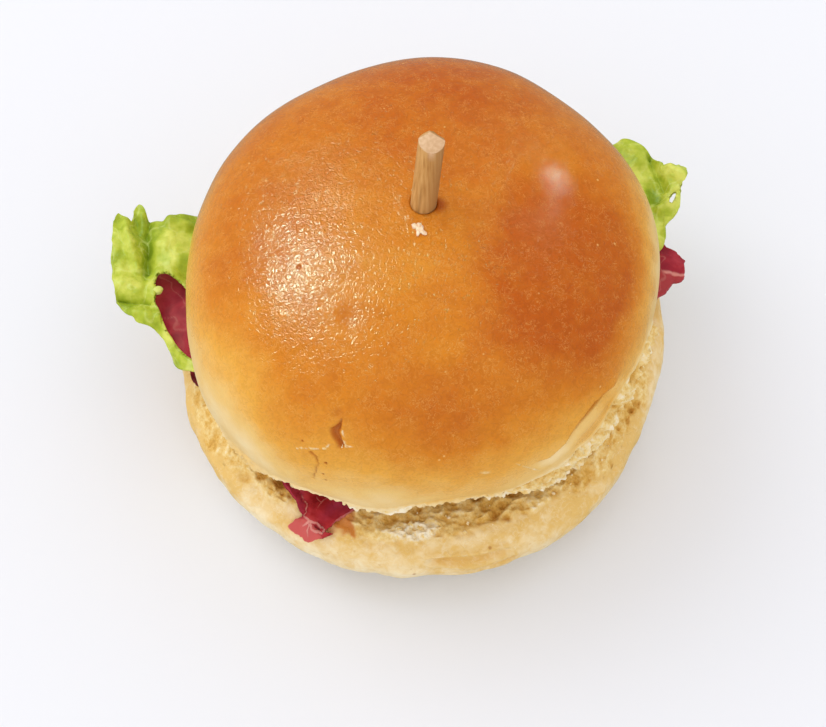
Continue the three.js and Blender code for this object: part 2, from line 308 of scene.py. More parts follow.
# the small rolled end beside the tear
LEAF_CURL = {"place": (-37.5, 5.2, 19.2), "radii": (0.8, 0.65, 0.45)}

SLICE_THICKNESS = 0.7
# place along the slice, one edge and the other; slice_front runs along Y, the others
# along X
SLICES = {
    "slice_front": {
        "rest": 14.95,
        "edges": (
            (14.0, -12.0, 12.0),
            (0.0, -21.0, 13.0),
            (-12.0, -21.6, 4.0),
            (-19.0, -21.2, -3.0),
            (-22.0, -20.2, -5.5),
            (-23.2, -19.5, -6.6),
            (-24.2, -18.85, -7.3),
            (-25.2, -18.2, -7.9),
            (-25.9, -17.75, -8.3),
            (-26.6, -17.45, -8.8),
            (-27.4, -17.2, -9.8),
            (-27.9, -16.8, -10.4),
            (-28.1, -17.4, -10.7),
            (-28.4, -18.1, -11.1),
            (-28.65, -18.7, -11.5),
            (-29.0, -18.5, -11.9),
            (-29.4, -17.9, -12.6),
            (-29.85, -17.2, -13.3),
            (-30.15, -17.0, -13.75),
            (-30.4, -16.7, -13.2),
            (-30.65, -16.4, -12.65),
            (-30.8, -16.0, -12.8),
            (-30.9, -15.5, -14.2),
        ),
        "flat": 26.0,
        "slope": -0.5,
        "fold": 0.45,
        "folds": 1.6,
        "grid": (300, 110),
    },
    "slice_right": {
        "rest": 16.2,
        "edges": (
            (-14.0, -18.0, 10.0),
            (4.0, -15.0, 19.0),
            (22.0, -2.0, 17.0),
            (30.0, 3.6, 15.2),
            (32.6, 5.4, 14.6),
            (33.6, 6.2, 14.1),
            (34.2, 6.9, 13.7),
            (34.9, 7.9, 13.2),
            (35.6, 8.1, 12.7),
            (36.2, 8.4, 12.2),
            (36.6, 8.7, 11.7),
        ),
        "flat": 27.0,
        "slope": 0.04,
        "fold": 0.45,
        "folds": 1.1,
        "grid": (180, 60),
    },
    "slice_left": {
        "rest": 17.45,
        "edges": (
            (16.0, -10.0, 18.0),
            (-4.0, -15.0, 19.0),
            (-22.0, -9.5, 14.5),
            (-28.0, -10.0, 13.0),
            (-30.6, -9.3, 12.0),
            (-31.6, -8.7, 11.5),
            (-32.3, -8.1, 11.0),
            (-32.7, -6.5, 10.6),
            (-33.6, -3.4, 10.4),
            (-35.4, -1.4, 10.4),
            (-37.6, 1.6, 10.4),
            (-39.2, 4.4, 9.6),
        ),
        "flat": 28.0,
        "slope": -0.2,
        "fold": 0.35,
        "folds": 1.0,
        "grid": (180, 60),
    },
}


# ---- Small tools for making meshes ---------------------------------------------------


def deselect_all():
    bpy.ops.object.select_all(action="DESELECT")


def object_mode():
    bpy.ops.object.mode_set(mode="OBJECT")


def edit_mode(kind="VERT"):
    bpy.ops.object.mode_set(mode="EDIT")
    bpy.ops.mesh.select_mode(type=kind)


def begin(name):
    """Names the primitive that was just added and puts its place into its mesh."""
    piece = bpy.context.object
    piece.name = name
    piece.data.name = name
    bpy.ops.object.transform_apply(location=True, rotation=True, scale=True)
    return piece


def activate(piece):
    deselect_all()
    piece.select_set(True)
    bpy.context.view_layer.objects.active = piece


def points_of(piece):
    points = np.empty(len(piece.data.vertices) * 3)
    piece.data.vertices.foreach_get("co", points)
    return points.reshape(-1, 3) / MM


def put_points(piece, points):
    piece.data.vertices.foreach_set("co", (points * MM).ravel())
    piece.data.update()


def select_points(piece, chosen):
    """Selects vertices by a mask, and the edges and faces that lie wholly in it."""
    mesh = piece.data
    mesh.vertices.foreach_set("select", chosen)
    edges = np.empty(len(mesh.edges) * 2, dtype=np.int32)
    mesh.edges.foreach_get("vertices", edges)
    mesh.edges.foreach_set("select", chosen[edges].reshape(-1, 2).all(axis=1))
    faces = [all(chosen[i] for i in face.vertices) for face in mesh.polygons]
    mesh.polygons.foreach_set("select", faces)


def refine(piece, chosen, cuts=1):
    """Subdivides the stretch of a mesh whose points are chosen."""
    activate(piece)
    select_points(piece, chosen)
    edit_mode("FACE")
    bpy.ops.mesh.subdivide(number_cuts=cuts, quadcorner="INNERVERT")
    object_mode()


def remove_points(piece, chosen):
    activate(piece)
    select_points(piece, chosen)
    edit_mode()
    bpy.ops.mesh.delete(type="VERT")
    object_mode()


def apply_modifier(piece, kind, **settings):
    activate(piece)
    modifier = piece.modifiers.new(kind.title(), kind)
    for key, value in settings.items():
        setattr(modifier, key, value)
    bpy.ops.object.modifier_apply(modifier=modifier.name)


def subdivide_smooth(piece, levels):
    apply_modifier(piece, "SUBSURF", levels=levels, render_levels=levels)


def face_outward(piece):
    activate(piece)
    edit_mode()
    bpy.ops.mesh.select_all(action="SELECT")
    bpy.ops.mesh.normals_make_consistent(inside=False)
    object_mode()


def shade_smooth(piece):
    activate(piece)
    bpy.ops.object.shade_smooth()


def turned(name, profile, segments):
    """A closed round piece: a disc's edge extruded and resized along (radius, height)."""
    deselect_all()
    radius, height = profile[0]
    bpy.ops.mesh.primitive_circle_add(
        vertices=segments,
        radius=radius * MM,
        fill_type="TRIFAN",
        location=(0, 0, height * MM),
    )
    piece = begin(name)
    edit_mode("EDGE")
    bpy.ops.mesh.select_all(action="DESELECT")
    bpy.ops.mesh.select_non_manifold()
    for next_radius, next_height in profile[1:]:
        rise = (next_height - height) * MM
        bpy.ops.mesh.extrude_edges_move(TRANSFORM_OT_translate={"value": (0, 0, rise)})
        scale = next_radius / radius
        centre = (0, 0, next_height * MM)
        bpy.ops.transform.resize(value=(scale, scale, 1), center_override=centre)
        radius, height = next_radius, next_height
    bpy.ops.mesh.extrude_edges_move(TRANSFORM_OT_translate={"value": (0, 0, 0)})
    bpy.ops.mesh.merge(type="CENTER")
    object_mode()
    face_outward(piece)
    return piece


def finish_piece(piece, node, material):
    piece.data.materials.clear()
    piece.data.materials.append(material)
    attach(piece, "root")
    if node:
        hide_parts(node)


def paint(piece, name, values):
    """Stores one number for each vertex, which the piece's material reads."""
    layer = piece.data.attributes.new(name, "FLOAT", "POINT")
    layer.data.foreach_set("value", np.asarray(values, dtype=np.float32))


# ---- Shape formulas --------------------------------------------------------------------


def reach_of(points):
    """Distance of each point from the upright line through the origin."""
    return np.hypot(points[:, 0], points[:, 1])


def smoothstep(low, high, values):
    share = np.clip((np.asarray(values, dtype=float) - low) / (high - low), 0, 1)
    return share * share * (3 - 2 * share)


def superellipse(share, fullness):
    return (1 - np.clip(share, 0, 1) ** fullness) ** (1 / fullness)


def outline(swells, bearing):
    factor = np.ones_like(bearing)
    for waves, height, crest in swells:
        factor += height * np.cos(waves * (bearing - math.radians(crest)))
    return factor


def humps(bearing, stretches):
    """Sum of smooth humps round the bun: (middle bearing, half spread, height) each."""
    total = np.zeros_like(bearing)
    for middle, spread, height in stretches:
        away = np.abs((bearing - math.radians(middle) + math.pi) % (2 * math.pi) - math.pi)
        total += height * smoothstep(0, 1, 1 - away / math.radians(spread))
    return total


def grain(points, size, seed=0.0):
    """Smooth noise from -1 to 1 whose lumps measure about size millimetres."""
    shift = Vector((seed * 17.3, seed * 5.1, seed * 9.7))
    return np.array([noise.noise(Vector(p) / size + shift) for p in points])


def ridges(points, size, seed=0.0):
    """Noise from -1 to 1 with sharp crests."""
    return 1 - 2 * np.abs(grain(points, size, seed)) ** 0.7


def cells(points, size, seed=0.0):
    """Distance to the middle of the nearest cell, in cell sizes."""
    shift = Vector((seed * 7.9, seed * 3.3, seed * 12.1))
    return np.array([noise.voronoi(Vector(p) / size + shift)[0][0] for p in points])


def from_chain(points, chain):
    """Distance from a chain of (x, y, z, half width) beyond its half width, and the
    height of the nearest place on it."""
    reach = np.full(len(points), 1e9)
    height = np.zeros(len(points))
    for start, end in zip(np.array(chain, dtype=float), np.array(chain[1:], dtype=float)):
        along = end[:3] - start[:3]
        share = np.clip((points - start[:3]) @ along / (along @ along), 0, 1)
        near = start[:3] + share[:, None] * along
        away = np.linalg.norm(points - near, axis=1) - (start[3] + share * (end[3] - start[3]))
        height = np.where(away < reach, near[:, 2], height)
        reach = np.minimum(reach, away)
    return reach, height


def in_oval(x, y, oval):
    """How far places lie from an oval's middle, 1 being its edge."""
    middle_x, middle_y, half_length, half_width = oval
    return np.hypot((x - middle_x) / half_length, (y - middle_y) / half_width)


def smooth_path(stations, share):
    """Catmull-Rom curve through the stations, at shares from 0 to 1."""
    knots = np.array(stations, dtype=float)
    padded = np.vstack([2 * knots[0] - knots[1], knots, 2 * knots[-1] - knots[-2]])
    place = np.clip(np.asarray(share), 0, 1) * (len(knots) - 1)
    index = np.minimum(place.astype(int), len(knots) - 2)
    t = (place - index)[..., None]
    a, b, c, d = (padded[index + k] for k in range(4))
    return 0.5 * (2 * b + (c - a) * t + (2 * a - 5 * b + 4 * c - d) * t**2
                  + (3 * b - a - 3 * c + d) * t**3)


# ---- Lower half of the bun -------------------------------------------------------------


def heel_upper_height():
    share = HEEL["cut_radius"] / HEEL["radius"]
    return (HEEL["cut_height"] - HEEL["widest_height"]) / superellipse(share, 2.0)


def heel_top(x, y):
    """Height of the lower half's cut face and upper crust at places on the plan."""
    reach = np.hypot(x, y) / outline(HEEL["swells"], np.arctan2(y, x))
    crust = HEEL["widest_height"] + heel_upper_height() * superellipse(reach / HEEL["radius"], 2.0)
    return np.where(reach <= HEEL["cut_radius"], HEEL["cut_height"], crust)


def heel_profile():
    base = HEEL["base_radius"]
    reach = HEEL["radius"] - base
    profile = [(base * 0.5, 0.0), (base, 0.0)]
    for step in range(1, 8):
        angle = math.pi / 2 * step / 7
        height = HEEL["widest_height"] * (1 - math.cos(angle))
        profile.append((base + reach * math.sin(angle), height))
    for step in range(1, 5):
        inward = (step / 4) ** 1.5
        radius = HEEL["radius"] + (HEEL["cut_radius"] - HEEL["radius"]) * inward
        rise = heel_upper_height() * float(superellipse(radius / HEEL["radius"], 2.0))
        profile.append((radius, HEEL["widest_height"] + rise))
    for share in (0.965, 0.93, 0.88, 0.8, 0.7, 0.5, 0.25):
        profile.append((HEEL["cut_radius"] * share, HEEL["cut_height"]))
    return profile


def torn_crumb(points, seed):
    """Height of open, torn crumb over its even surface."""
    large = smoothstep(0.6, 0.15, cells(points, 2.3, seed))
    large *= smoothstep(-0.3, 0.3, grain(points, 5, seed + 1))
    small = smoothstep(0.5, 0.1, cells(points, 1.0, seed + 2))
    return (
        0.55 * grain(points, 3.4, seed + 3)
        + 0.45 * ridges(points, 2.2, seed + 4)
        + 0.2 * grain(points, 0.9, seed + 5)
        - 0.7 * large
        - 0.3 * small
    )


def make_heel(material):
    piece = turned("heel_bun", heel_profile(), HEEL["segments"])
    subdivide_smooth(piece, 2)
    points = points_of(piece)
    refine(piece, (reach_of(points) > HEEL["fine_reach"]) & (points[:, 2] > HEEL["fine_rim"]), 3)
    points = points_of(piece)
    x, y, z = points.T
    front_y, low, high = HEEL["fine_front"]
    refine(piece, (y < front_y) & (z > low) & (z < high) & (reach_of(points) > HEEL["fine_reach"]))
    points = points_of(piece)
    x, y, z = points.T
    bearing = np.arctan2(y, x)
    reach = reach_of(points)

    # the crust ends at a ragged edge, and the crumb inside it is open and torn
    ragged = 1.2 * grain(points, 5.0, 1) + 0.8 * grain(points, 1.8, 2) + 0.3 * grain(points, 0.7, 8)
    edge = HEEL["cut_radius"] - 0.5 + ragged + humps(bearing, HEEL_CRUMB_REACH)
    crumb = smoothstep(0.45, -0.45, reach - edge) * smoothstep(11.0, 12.0, z)
    factor = outline(HEEL["swells"], bearing)
    points[:, 0] *= factor
    points[:, 1] *= factor

    crust = (1 - crumb) * smoothstep(0.3, 2.5, z)
    lumps = 0.4 * grain(points, 13, 3) + 0.4 * grain(points, 4.5, 4) + 0.16 * grain(points, 1.6, 5)
    beside_crumb = smoothstep(3.5, 0.2, reach - edge) * smoothstep(8, 11, z)
    pores = smoothstep(0.45, 0.15, cells(points, 1.7, 9)) * smoothstep(-0.1, 0.3, grain(points, 4, 10))
    lumps -= 0.35 * beside_crumb * pores
    for chain in HEEL_CREASES:
        away = from_chain(points, chain)[0]
        lumps -= 0.6 * smoothstep(0.6, -0.1, away)
        lumps += 0.3 * smoothstep(1.6, 0.6, away) * smoothstep(0.4, 0.7, away)
    outward = np.stack([x / reach.clip(1), y / reach.clip(1), (z - 8) / 10], axis=1)
    outward[reach < 1] = (0, 0, 1)
    points += outward * (lumps * crust)[:, None]
    shown = np.flatnonzero(crumb > 0.01)
    open_crumb = np.zeros(len(points))
    open_crumb[shown] = torn_crumb(points[shown], 20)
    from_white = in_oval(x, y, WHITE_CRUMB) + 0.3 * grain(points, 1.2, 73)
    white = smoothstep(1.2, 0.5, from_white) * smoothstep(12, 13, z)
    crumb = np.maximum(crumb, white)
    points[:, 2] += crumb * (0.85 * open_crumb + 0.1) + 0.6 * white * ridges(points, 1.0, 72)
    heap = humps(bearing, HEEL_CRUMB_HEAP) * smoothstep(24, 28, reach) * smoothstep(33.5, 30, reach)
    points[:, 2] += heap * smoothstep(11, 13, z)
    paint(piece, "crumb", np.clip(crumb + 0.35 * beside_crumb * pores, 0, 1))
    paint(piece, "tan", humps(bearing, HEEL_TAN))
    smear = in_oval(points[:, 0], points[:, 1], SAUCE)
    smear += 0.5 * grain(points, 1.6, 70) + 0.3 * grain(points, 0.6, 71)
    smear = 0.95 * smoothstep(1.15, 0.6, smear) * smoothstep(10, 12, z)
    beside_streak = from_chain(points, SAUCE_STREAK)[0] + 0.15 * grain(points, 0.7, 74)
    paint(piece, "sauce", np.maximum(smear, smoothstep(0.25, -0.1, beside_streak)))
    # lower, deeper crumb is painted browner, partly as painted shade in its pores
    paint(piece, "pit", np.clip(0.48 + open_crumb * 0.36 + 0.45 * white, 0, 1.1))
    put_points(piece, points)
    shade_smooth(piece)
    finish_piece(piece, "heel", material)


# ---- Upper half of the bun -------------------------------------------------------------


def skirt_share(depth):
    return superellipse(np.asarray(depth) / CROWN["skirt_depth"], CROWN["skirt_fullness"])


def crown_profile():
    rim = CROWN["radius"] * float(skirt_share(CROWN["skirt_height"]))
    skirt = CROWN["skirt_height"]
    profile = [((rim - CROWN["rim_round"]) * share, -skirt) for share in (0.25, 0.6, 0.85, 0.94, 1)]
    steps = 9
    for step in range(steps):
        depth = (skirt - CROWN["rim_round"]) * (1 - step / steps)
        profile.append((CROWN["radius"] * float(skirt_share(depth)), -depth))
    steps = 17
    for step in range(steps):
        angle = math.pi / 2 * step / steps
        power = 2 / CROWN["dome_fullness"]
        radius = CROWN["radius"] * math.cos(angle) ** power
        profile.append((radius, CROWN["dome_height"] * math.sin(angle) ** power))
    return profile


def crown_place(points):
    """Moves points of the round dome to the real, leaning and sagging one."""
    x, y, z = points.T
    bearing = np.arctan2(y, x)
    rim = CROWN["radius"] * float(skirt_share(CROWN["skirt_height"]))
    down = smoothstep(0, 1, -z / CROWN["skirt_height"])
    share = down * smoothstep(CROWN["sag_start"], 1, np.hypot(x, y) / rim)
    height = z - humps(bearing, CROWN["sags"]) * share
    factor = outline(CROWN["swells"], bearing)
    across = x * factor
    back = y * factor
    return np.stack(
        [
            CROWN["centre_x"] + across - CROWN["lean_x"] * height,
            back - CROWN["lean_y"] * height,
            CROWN["widest_height"] + height + CROWN["lean_x"] * across + CROWN["lean_y"] * back,
        ],
        axis=1,
    )


def crown_edge(piece):
    """Which points lie at the rear rim, at the front rim and on the torn side."""
    points = points_of(piece)
    height = points[:, 2]
    reach = reach_of(points)
    degrees = np.degrees(np.arctan2(points[:, 1], points[:, 0]))
    first, last, _ = TORN_SIDE
    rear = degrees > last + 5
    rim_top, rim_reach = CROWN["fine_rim"]
    rim = (height < rim_top) & (reach > rim_reach)
    torn_top, torn_reach = CROWN["fine_torn_side"]
    torn = (degrees > first - 3) & ~rear & (height < torn_top) & (reach > torn_reach)
    return rim & rear, rim & ~rear, torn


def make_crown(material):
    piece = turned("crown_bun", crown_profile(), CROWN["segments"])
    subdivide_smooth(piece, 2)

    # the mesh is finer at the rim, and finest on the torn side and at its fold
    rear_rim, _, _ = crown_edge(piece)
    refine(piece, rear_rim)
    _, front_rim, torn = crown_edge(piece)
    fold = from_chain(crown_place(points_of(piece)), CREASE)[0] < 1.8
    refine(piece, front_rim | torn | fold, 3)
    placed = crown_place(points_of(piece))
    marks = np.linalg.norm(placed - MARKED_PLACE[:3], axis=1) < MARKED_PLACE[3]
    for x, y, z, radius, depth in PITS:
        if radius < WIDE_PIT:
            marks |= np.linalg.norm(placed - (x, y, z), axis=1) < radius + 1.6
    marks |= np.linalg.norm(placed - STICK_EXIT, axis=1) < STICK["radius"] + 1.8
    refine(piece, marks, 4)
    even = points_of(piece)
    bearing = np.arctan2(even[:, 1], even[:, 0])
    reach = reach_of(even)
    depth = -even[:, 2]

    # the crust ends at a ragged edge, and torn crumb hangs out below it
    degrees = np.degrees(bearing)
    first, last, growth = TORN_SIDE
    wide = smoothstep(first, first + growth, degrees) * smoothstep(last, last - growth, degrees)
    points = crown_place(even)
    ragged = 0.4 * grain(points, 4.5, 11) + 0.6 * ridges(points, 1.7, 12) + 0.3 * grain(points, 0.7, 16)
    below = depth - np.interp(degrees, *zip(*CRUST_END)) - ragged
    crumb = smoothstep(-0.12, 0.12, below)
    crumb = np.maximum(crumb, (depth > CROWN["skirt_height"] - 0.25) * 1.0)
    outward = points - np.array([CROWN["centre_x"], 0, CROWN["widest_height"] - 6])
    outward /= np.linalg.norm(outward, axis=1)[:, None]

    from_smooth = np.linalg.norm(points - SMOOTH_GLAZE[:3], axis=1)
    calm = smoothstep(SMOOTH_GLAZE[3], 0.4 * SMOOTH_GLAZE[3], from_smooth)
    lumps = 0.35 * grain(points, 15, 13) + 0.10 * grain(points, 6, 14)
    move = (1 - crumb) * (1 - 0.9 * calm) * lumps
    lip = smoothstep(-1.2, -0.1, below) * (1 - crumb)
    move += 0.2 * lip
    away, height = from_chain(points, CREASE)
    above = points[:, 2] - height
    along_fold = smoothstep(2.4, 0.4, away)
    swell_above = 0.3 * smoothstep(1.6, 0.1, above)
    sink_below = -0.3 * smoothstep(0, -0.4, above)
    move += along_fold * np.where(above > 0, swell_above, sink_below)
    # the fold's line is cut in, and further down it is also painted darker as painted shade in the
    # crease
    fold_line = smoothstep(0.2, -0.1, away)
    move -= 0.9 * fold_line
    flap = smoothstep(3.6, 1.0, away) * smoothstep(0.1, -0.5, above) * (1 - crumb)

    slit = from_chain(points, SLIT)[0] + 0.14 * grain(points, 0.8, 14)
    wound = smoothstep(0.2, -0.15, slit)
    move -= 0.8 * smoothstep(0.2, -0.35, slit)
    crack = smoothstep(0.14, 0.0, from_chain(points, CRACK)[0])
    move -= 0.25 * crack
    tears = (SLIT_LIP, TORN_LINE, *SMALL_TEARS)
    flecks = np.max([smoothstep(0.12, 0.0, from_chain(points, tear)[0]) for tear in tears], axis=0)
    flecks *= smoothstep(-0.25, 0.1, grain(points, 0.55, 15))
    move += 0.12 * flecks
    # the crack and pits are scorched browner; the stick's painted shadow joins this mask further on
    scorch_and_stick_shadow = 0.5 * crack
    for x, y, z, radius, pit_depth in PITS:
        away = np.linalg.norm(points - (x, y, z), axis=1)
        move -= pit_depth * smoothstep(1.3 * radius, 0, away)
        scorch = 1.0 if radius < 0.9 else 0.3
        scorch_and_stick_shadow = np.maximum(scorch_and_stick_shadow, scorch * smoothstep(1.2 * radius, 0.4 * radius, away))

    shown = np.flatnonzero((crumb > 0.01) & (reach > CROWN["open_reach"]))
    open_crumb = np.zeros(len(points))
    open_crumb[shown] = torn_crumb(points[shown], 40)
    bulge = wide * smoothstep(-0.1, 1.3, below) * smoothstep(7.5, 3.5, below)
    frill = 0.5 * ridges(points, 1.6, 45) + 0.35 * ridges(points, 0.8, 44)
    frill += 0.4 * grain(points, 0.7, 46) + 0.3 * grain(points, 3.2, 47)
    move += crumb * ((0.5 + 0.4 * wide) * open_crumb - 0.2) + bulge * (0.7 + 0.7 * frill)
    side = outward.copy()
    side[:, 2] *= np.where(crumb > 0.5, 0.35, 1)
    points += side * move[:, None]

    # the rim flares into a thin, toothed lip
    hang = smoothstep(6.5, 9.5, depth) * (reach > CROWN["open_reach"])
    nicked = 0.5 + 0.5 * smoothstep(-0.3, 0.4, grain(even, 6, 48))
    fine_teeth = 0.55 * ridges(even, 1.3, 18) + 0.8 * grain(even, 0.6, 19)
    teeth = 0.7 * grain(even, 4.2, 17) + nicked * fine_teeth
    points[:, 2] -= 0.9 * hang * teeth
    points[:, :2] += outward[:, :2] * (hang * (0.75 + 0.65 * teeth))[:, None]
    around_stick = np.hypot(points[:, 0] - STICK_EXIT[0], points[:, 1] - STICK_EXIT[1])
    on_top = points[:, 2] > CROWN["widest_height"]
    from_stick = around_stick - STICK["radius"]
    points[:, 2] -= on_top * 0.6 * smoothstep(0.15, -0.3, from_stick)
    points[:, 2] += on_top * 0.15 * smoothstep(1.2, 0.4, np.abs(from_stick - 0.8))
    # painted shadow: the crust beside the stick is darkened where the stick and its hole cast shade
    beside_stick = np.hypot(points[:, 0] - STICK_SHADE[0], points[:, 1] - STICK_SHADE[1])
    scorch_and_stick_shadow = np.maximum(scorch_and_stick_shadow, on_top * smoothstep(1.7, 0.5, beside_stick))

    tan = 0.09 + 0.69 * smoothstep(22, 46, points[:, 2]) + 0.07 * smoothstep(-30, 20, points[:, 1])
    flank = smoothstep(27.0, 32.3, np.hypot(points[:, 0] - CROWN["centre_x"], points[:, 1]))
    flank = np.where(points[:, 2] > CROWN["widest_height"], flank, 1)
    tan -= flank * (0.01 + humps(bearing, PALE_FLANKS) * (1 + 0.3 * grain(points, 3, 49)))
    for x, y, radius, amount in TAN_PATCHES:
        away = np.hypot(points[:, 0] - x, points[:, 1] - y)
        tan += amount * smoothstep(radius, 0, away)
    tan = np.maximum(tan, 0.1)
    # the crust's browning, with painted shade added along the fold line of the crease
    paint(piece, "bake", np.clip(tan - 0.2 * flap - 0.2 * lip + 0.45 * fold_line, 0, 1))
    paint(piece, "calm", calm)
    paint(piece, "scorch_and_stick_shadow", np.clip(scorch_and_stick_shadow, 0, 1))
    paint(piece, "wound", wound)
    paint(piece, "crumb", np.maximum(crumb, 0.8 * flecks))
    # lower, deeper crumb is painted browner, partly as painted shade in its pores
    pit = np.clip(0.48 + open_crumb * 0.5 + 0.25 * hang, 0, 0.95)
    paint(piece, "pit", np.where(flecks > crumb, 0.75, pit))
    put_points(piece, points)
    shade_smooth(piece)
    finish_piece(piece, "crown", material)


# ---- Leaf ------------------------------------------------------------------------------


def sheet(name, edges, columns, rows, along_y=False):
    """A flat grid between two edges; gives the piece, its share along and across, x, y."""
    deselect_all()
    bpy.ops.mesh.primitive_grid_add(x_subdivisions=columns, y_subdivisions=rows, size=2 * MM)
    piece = begin(name)
    points = points_of(piece)
    share = (points[:, 0] + 1) / 2
    across = points[:, 1]
    row = smooth_path(edges, share)
    place = row[:, 0]
    side = row[:, 1] + (row[:, 2] - row[:, 1]) * (across + 1) / 2
    if along_y:
        return piece, share, across, side, place
    return piece, share, across, place, side


def in_opening(x, y, opening):
    """How far places lie from a turned oval opening's middle, 1 being its edge."""
    middle_x, middle_y, half_length, half_width, turn = opening
    turn = math.radians(turn)
    along = (x - middle_x) * math.cos(turn) + (y - middle_y) * math.sin(turn)
    across = (y - middle_y) * math.cos(turn) - (x - middle_x) * math.sin(turn)
    return np.hypot(along / half_length, across / half_width)


def open_up(x, y, opening, core):
    """Draws the grid's points out of an opening to its edge, save the ones in its core;
    gives the new x and y and which points are in the core."""
    span = in_opening(x, y, opening)
    drawn = (span > core) & (span < 1)
    scale = np.where(drawn, 1 / np.maximum(span, core), 1)
    drawn_x = opening[0] + (x - opening[0]) * scale
    drawn_y = opening[1] + (y - opening[1]) * scale
    return drawn_x, drawn_y, span <= core


def add_leaf_curl(leaf):
    """Joins a small rolled end of leaf to the edge of the tear."""
    deselect_all()
    bpy.ops.mesh.primitive_uv_sphere_add(segments=24, ring_count=12, radius=1 * MM)
    curl = begin("leaf_curl")
    points = points_of(curl)
    points *= (1 + 0.25 * grain(points, 0.9, 26))[:, None]
    paint(curl, "vein", np.full(len(points), 1.4))
    # the rolled end gets the full height value, so it is painted the light green of the leaf's crests
    paint(curl, "height", np.full(len(points), 1.0))
    put_points(curl, points * LEAF_CURL["radii"] + LEAF_CURL["place"])
    deselect_all()
    curl.select_set(True)
    leaf.select_set(True)
    bpy.context.view_layer.objects.active = leaf
    bpy.ops.object.join()


def make_leaf(material):
    piece, share, across, x, y = sheet("lettuce_leaf", LEAF_EDGES, 300, 90)
    x, y, tear = open_up(x, y, LEAF_TEAR, 0.8)
    x, y, nick = open_up(x, y, LEAF_NICK, 0.5)
    x, y, bite = open_up(x, y, LEAF_BITE, 0.5)
    flat = np.stack([x, y, np.zeros_like(x)], axis=1)
    x += np.where(x > 0, 0.2, -0.45) * smoothstep(32, 40, np.abs(x)) * grain(flat, 2.2, 20)
    outside = np.maximum(0, np.hypot(x, y) - LEAF_FLAT_REACH)
    free = smoothstep(0.3, 5, outside)
    slope = -0.05 + 0.10 * smoothstep(-2, 16, y)
    z = LEAF_HEIGHT + slope * outside
    for start_x, start_y, end_x, end_y, half, height in LEAF_FOLDS:
        line = ((start_x, start_y, 0, 0), (end_x, end_y, 0, 0))
        z += height * smoothstep(1.4 * half, 0, from_chain(flat, line)[0]) * free
    edge = np.abs(across)
    ruffle = np.sin(share * 70 + across * 1.4) * smoothstep(0.55, 1, edge)
    z += free * (0.12 * ruffle + 0.6 * grain(flat, 4.0, 21) + 0.25 * grain(flat, 1.8, 22))
    z += free * 0.07 * grain(flat, 0.8, 23)
    torn_edge = in_opening(x, y, LEAF_TEAR)
    z += 0.7 * smoothstep(1.35, 1.0, torn_edge)
    veins = np.abs(grain(flat, 3.4, 24) + 0.35 * grain(flat, 1.2, 25))
    paint(piece, "vein", smoothstep(0.07, 0.0, veins))
    # painted shade: the leaf is painted darker green where it lies lower, in its folds and valleys
    fold = np.clip(0.5 + 0.16 * (z - LEAF_HEIGHT - slope * outside), 0, 1)
    paint(piece, "height", fold)
    put_points(piece, np.stack([x, y, z], axis=1))
    remove_points(piece, tear | nick | bite)
    apply_modifier(piece, "SOLIDIFY", thickness=LEAF_THICKNESS * MM, offset=0.0)
    add_leaf_curl(piece)
    shade_smooth(piece)
    finish_piece(piece, "lettuce", material)


# ---- Cured meat ------------------------------------------------------------------------

# where the front slice is drawn together, and the pale strings that run to it
KNOT = (-15.8, -29.1)
FAT_STRINGS = (
    (
        (-17.2, -24.9, 0, 0.02),
        (-16.7, -25.7, 0, 0.03),
        (-16.2, -26.7, 0, 0.04),
        (-16.1, -27.5, 0, 0.03),
        (-16.5, -27.9, 0, 0.03),
        (-16.2, -28.5, 0, 0.05),
        (-15.8, -29.1, 0, 0.08),
    ),
    ((-14.9, -25.5, 0, 0.01), (-14.4, -26.3, 0, 0.03), (-14.1, -26.7, 0, 0.03), (-14.8, -27.7, 0, 0)),
    ((-14.1, -26.7, 0, 0.03), (-13.4, -26.2, 0, 0.02), (-12.8, -25.9, 0, 0.01)),
    (
        (-15.8, -29.1, 0, 0.08),
        (-14.9, -29.3, 0, 0.04),
        (-13.9, -30.0, 0, 0.04),
        (-14.2, -30.4, 0, 0.03),
        (-14.9, -30.2, 0, 0.04),
        (-15.5, -29.8, 0, 0.04),
        (-15.8, -29.1, 0, 0.06),
    ),
    ((-15.8, -29.1, 0, 0.07), (-16.0, -29.9, 0, 0.04), (-15.9, -30.4, 0, 0.01)),
    ((-15.8, -29.1, 0, 0.07), (-16.6, -29.2, 0, 0.03)),
)
# a painted shadow in the hollow inside the knot's loop
LOOP_HOLLOW_SHADE = ((-15.15, -29.6, 0, 0.12), (-14.5, -29.95, 0, 0.16))
# the crest of the front slice's fold, and the way across it to its purple side
FOLD_CREST = ((-12.2, -25.0, 0, 0), (-13.7, -26.9, 0, 0), (-15.4, -28.8, 0, 0))
PURPLE_SIDE = (0.76, -0.65)
# beyond this way from the knot the slice is pink
PINK_SIDE = (-0.707, -0.707)
# the slice's corner under the leaf is painted dark, as painted shadow of the leaf: x, y and radius
LEAF_SHADOW_CORNER = (-31.9, -8.2, 2.4)


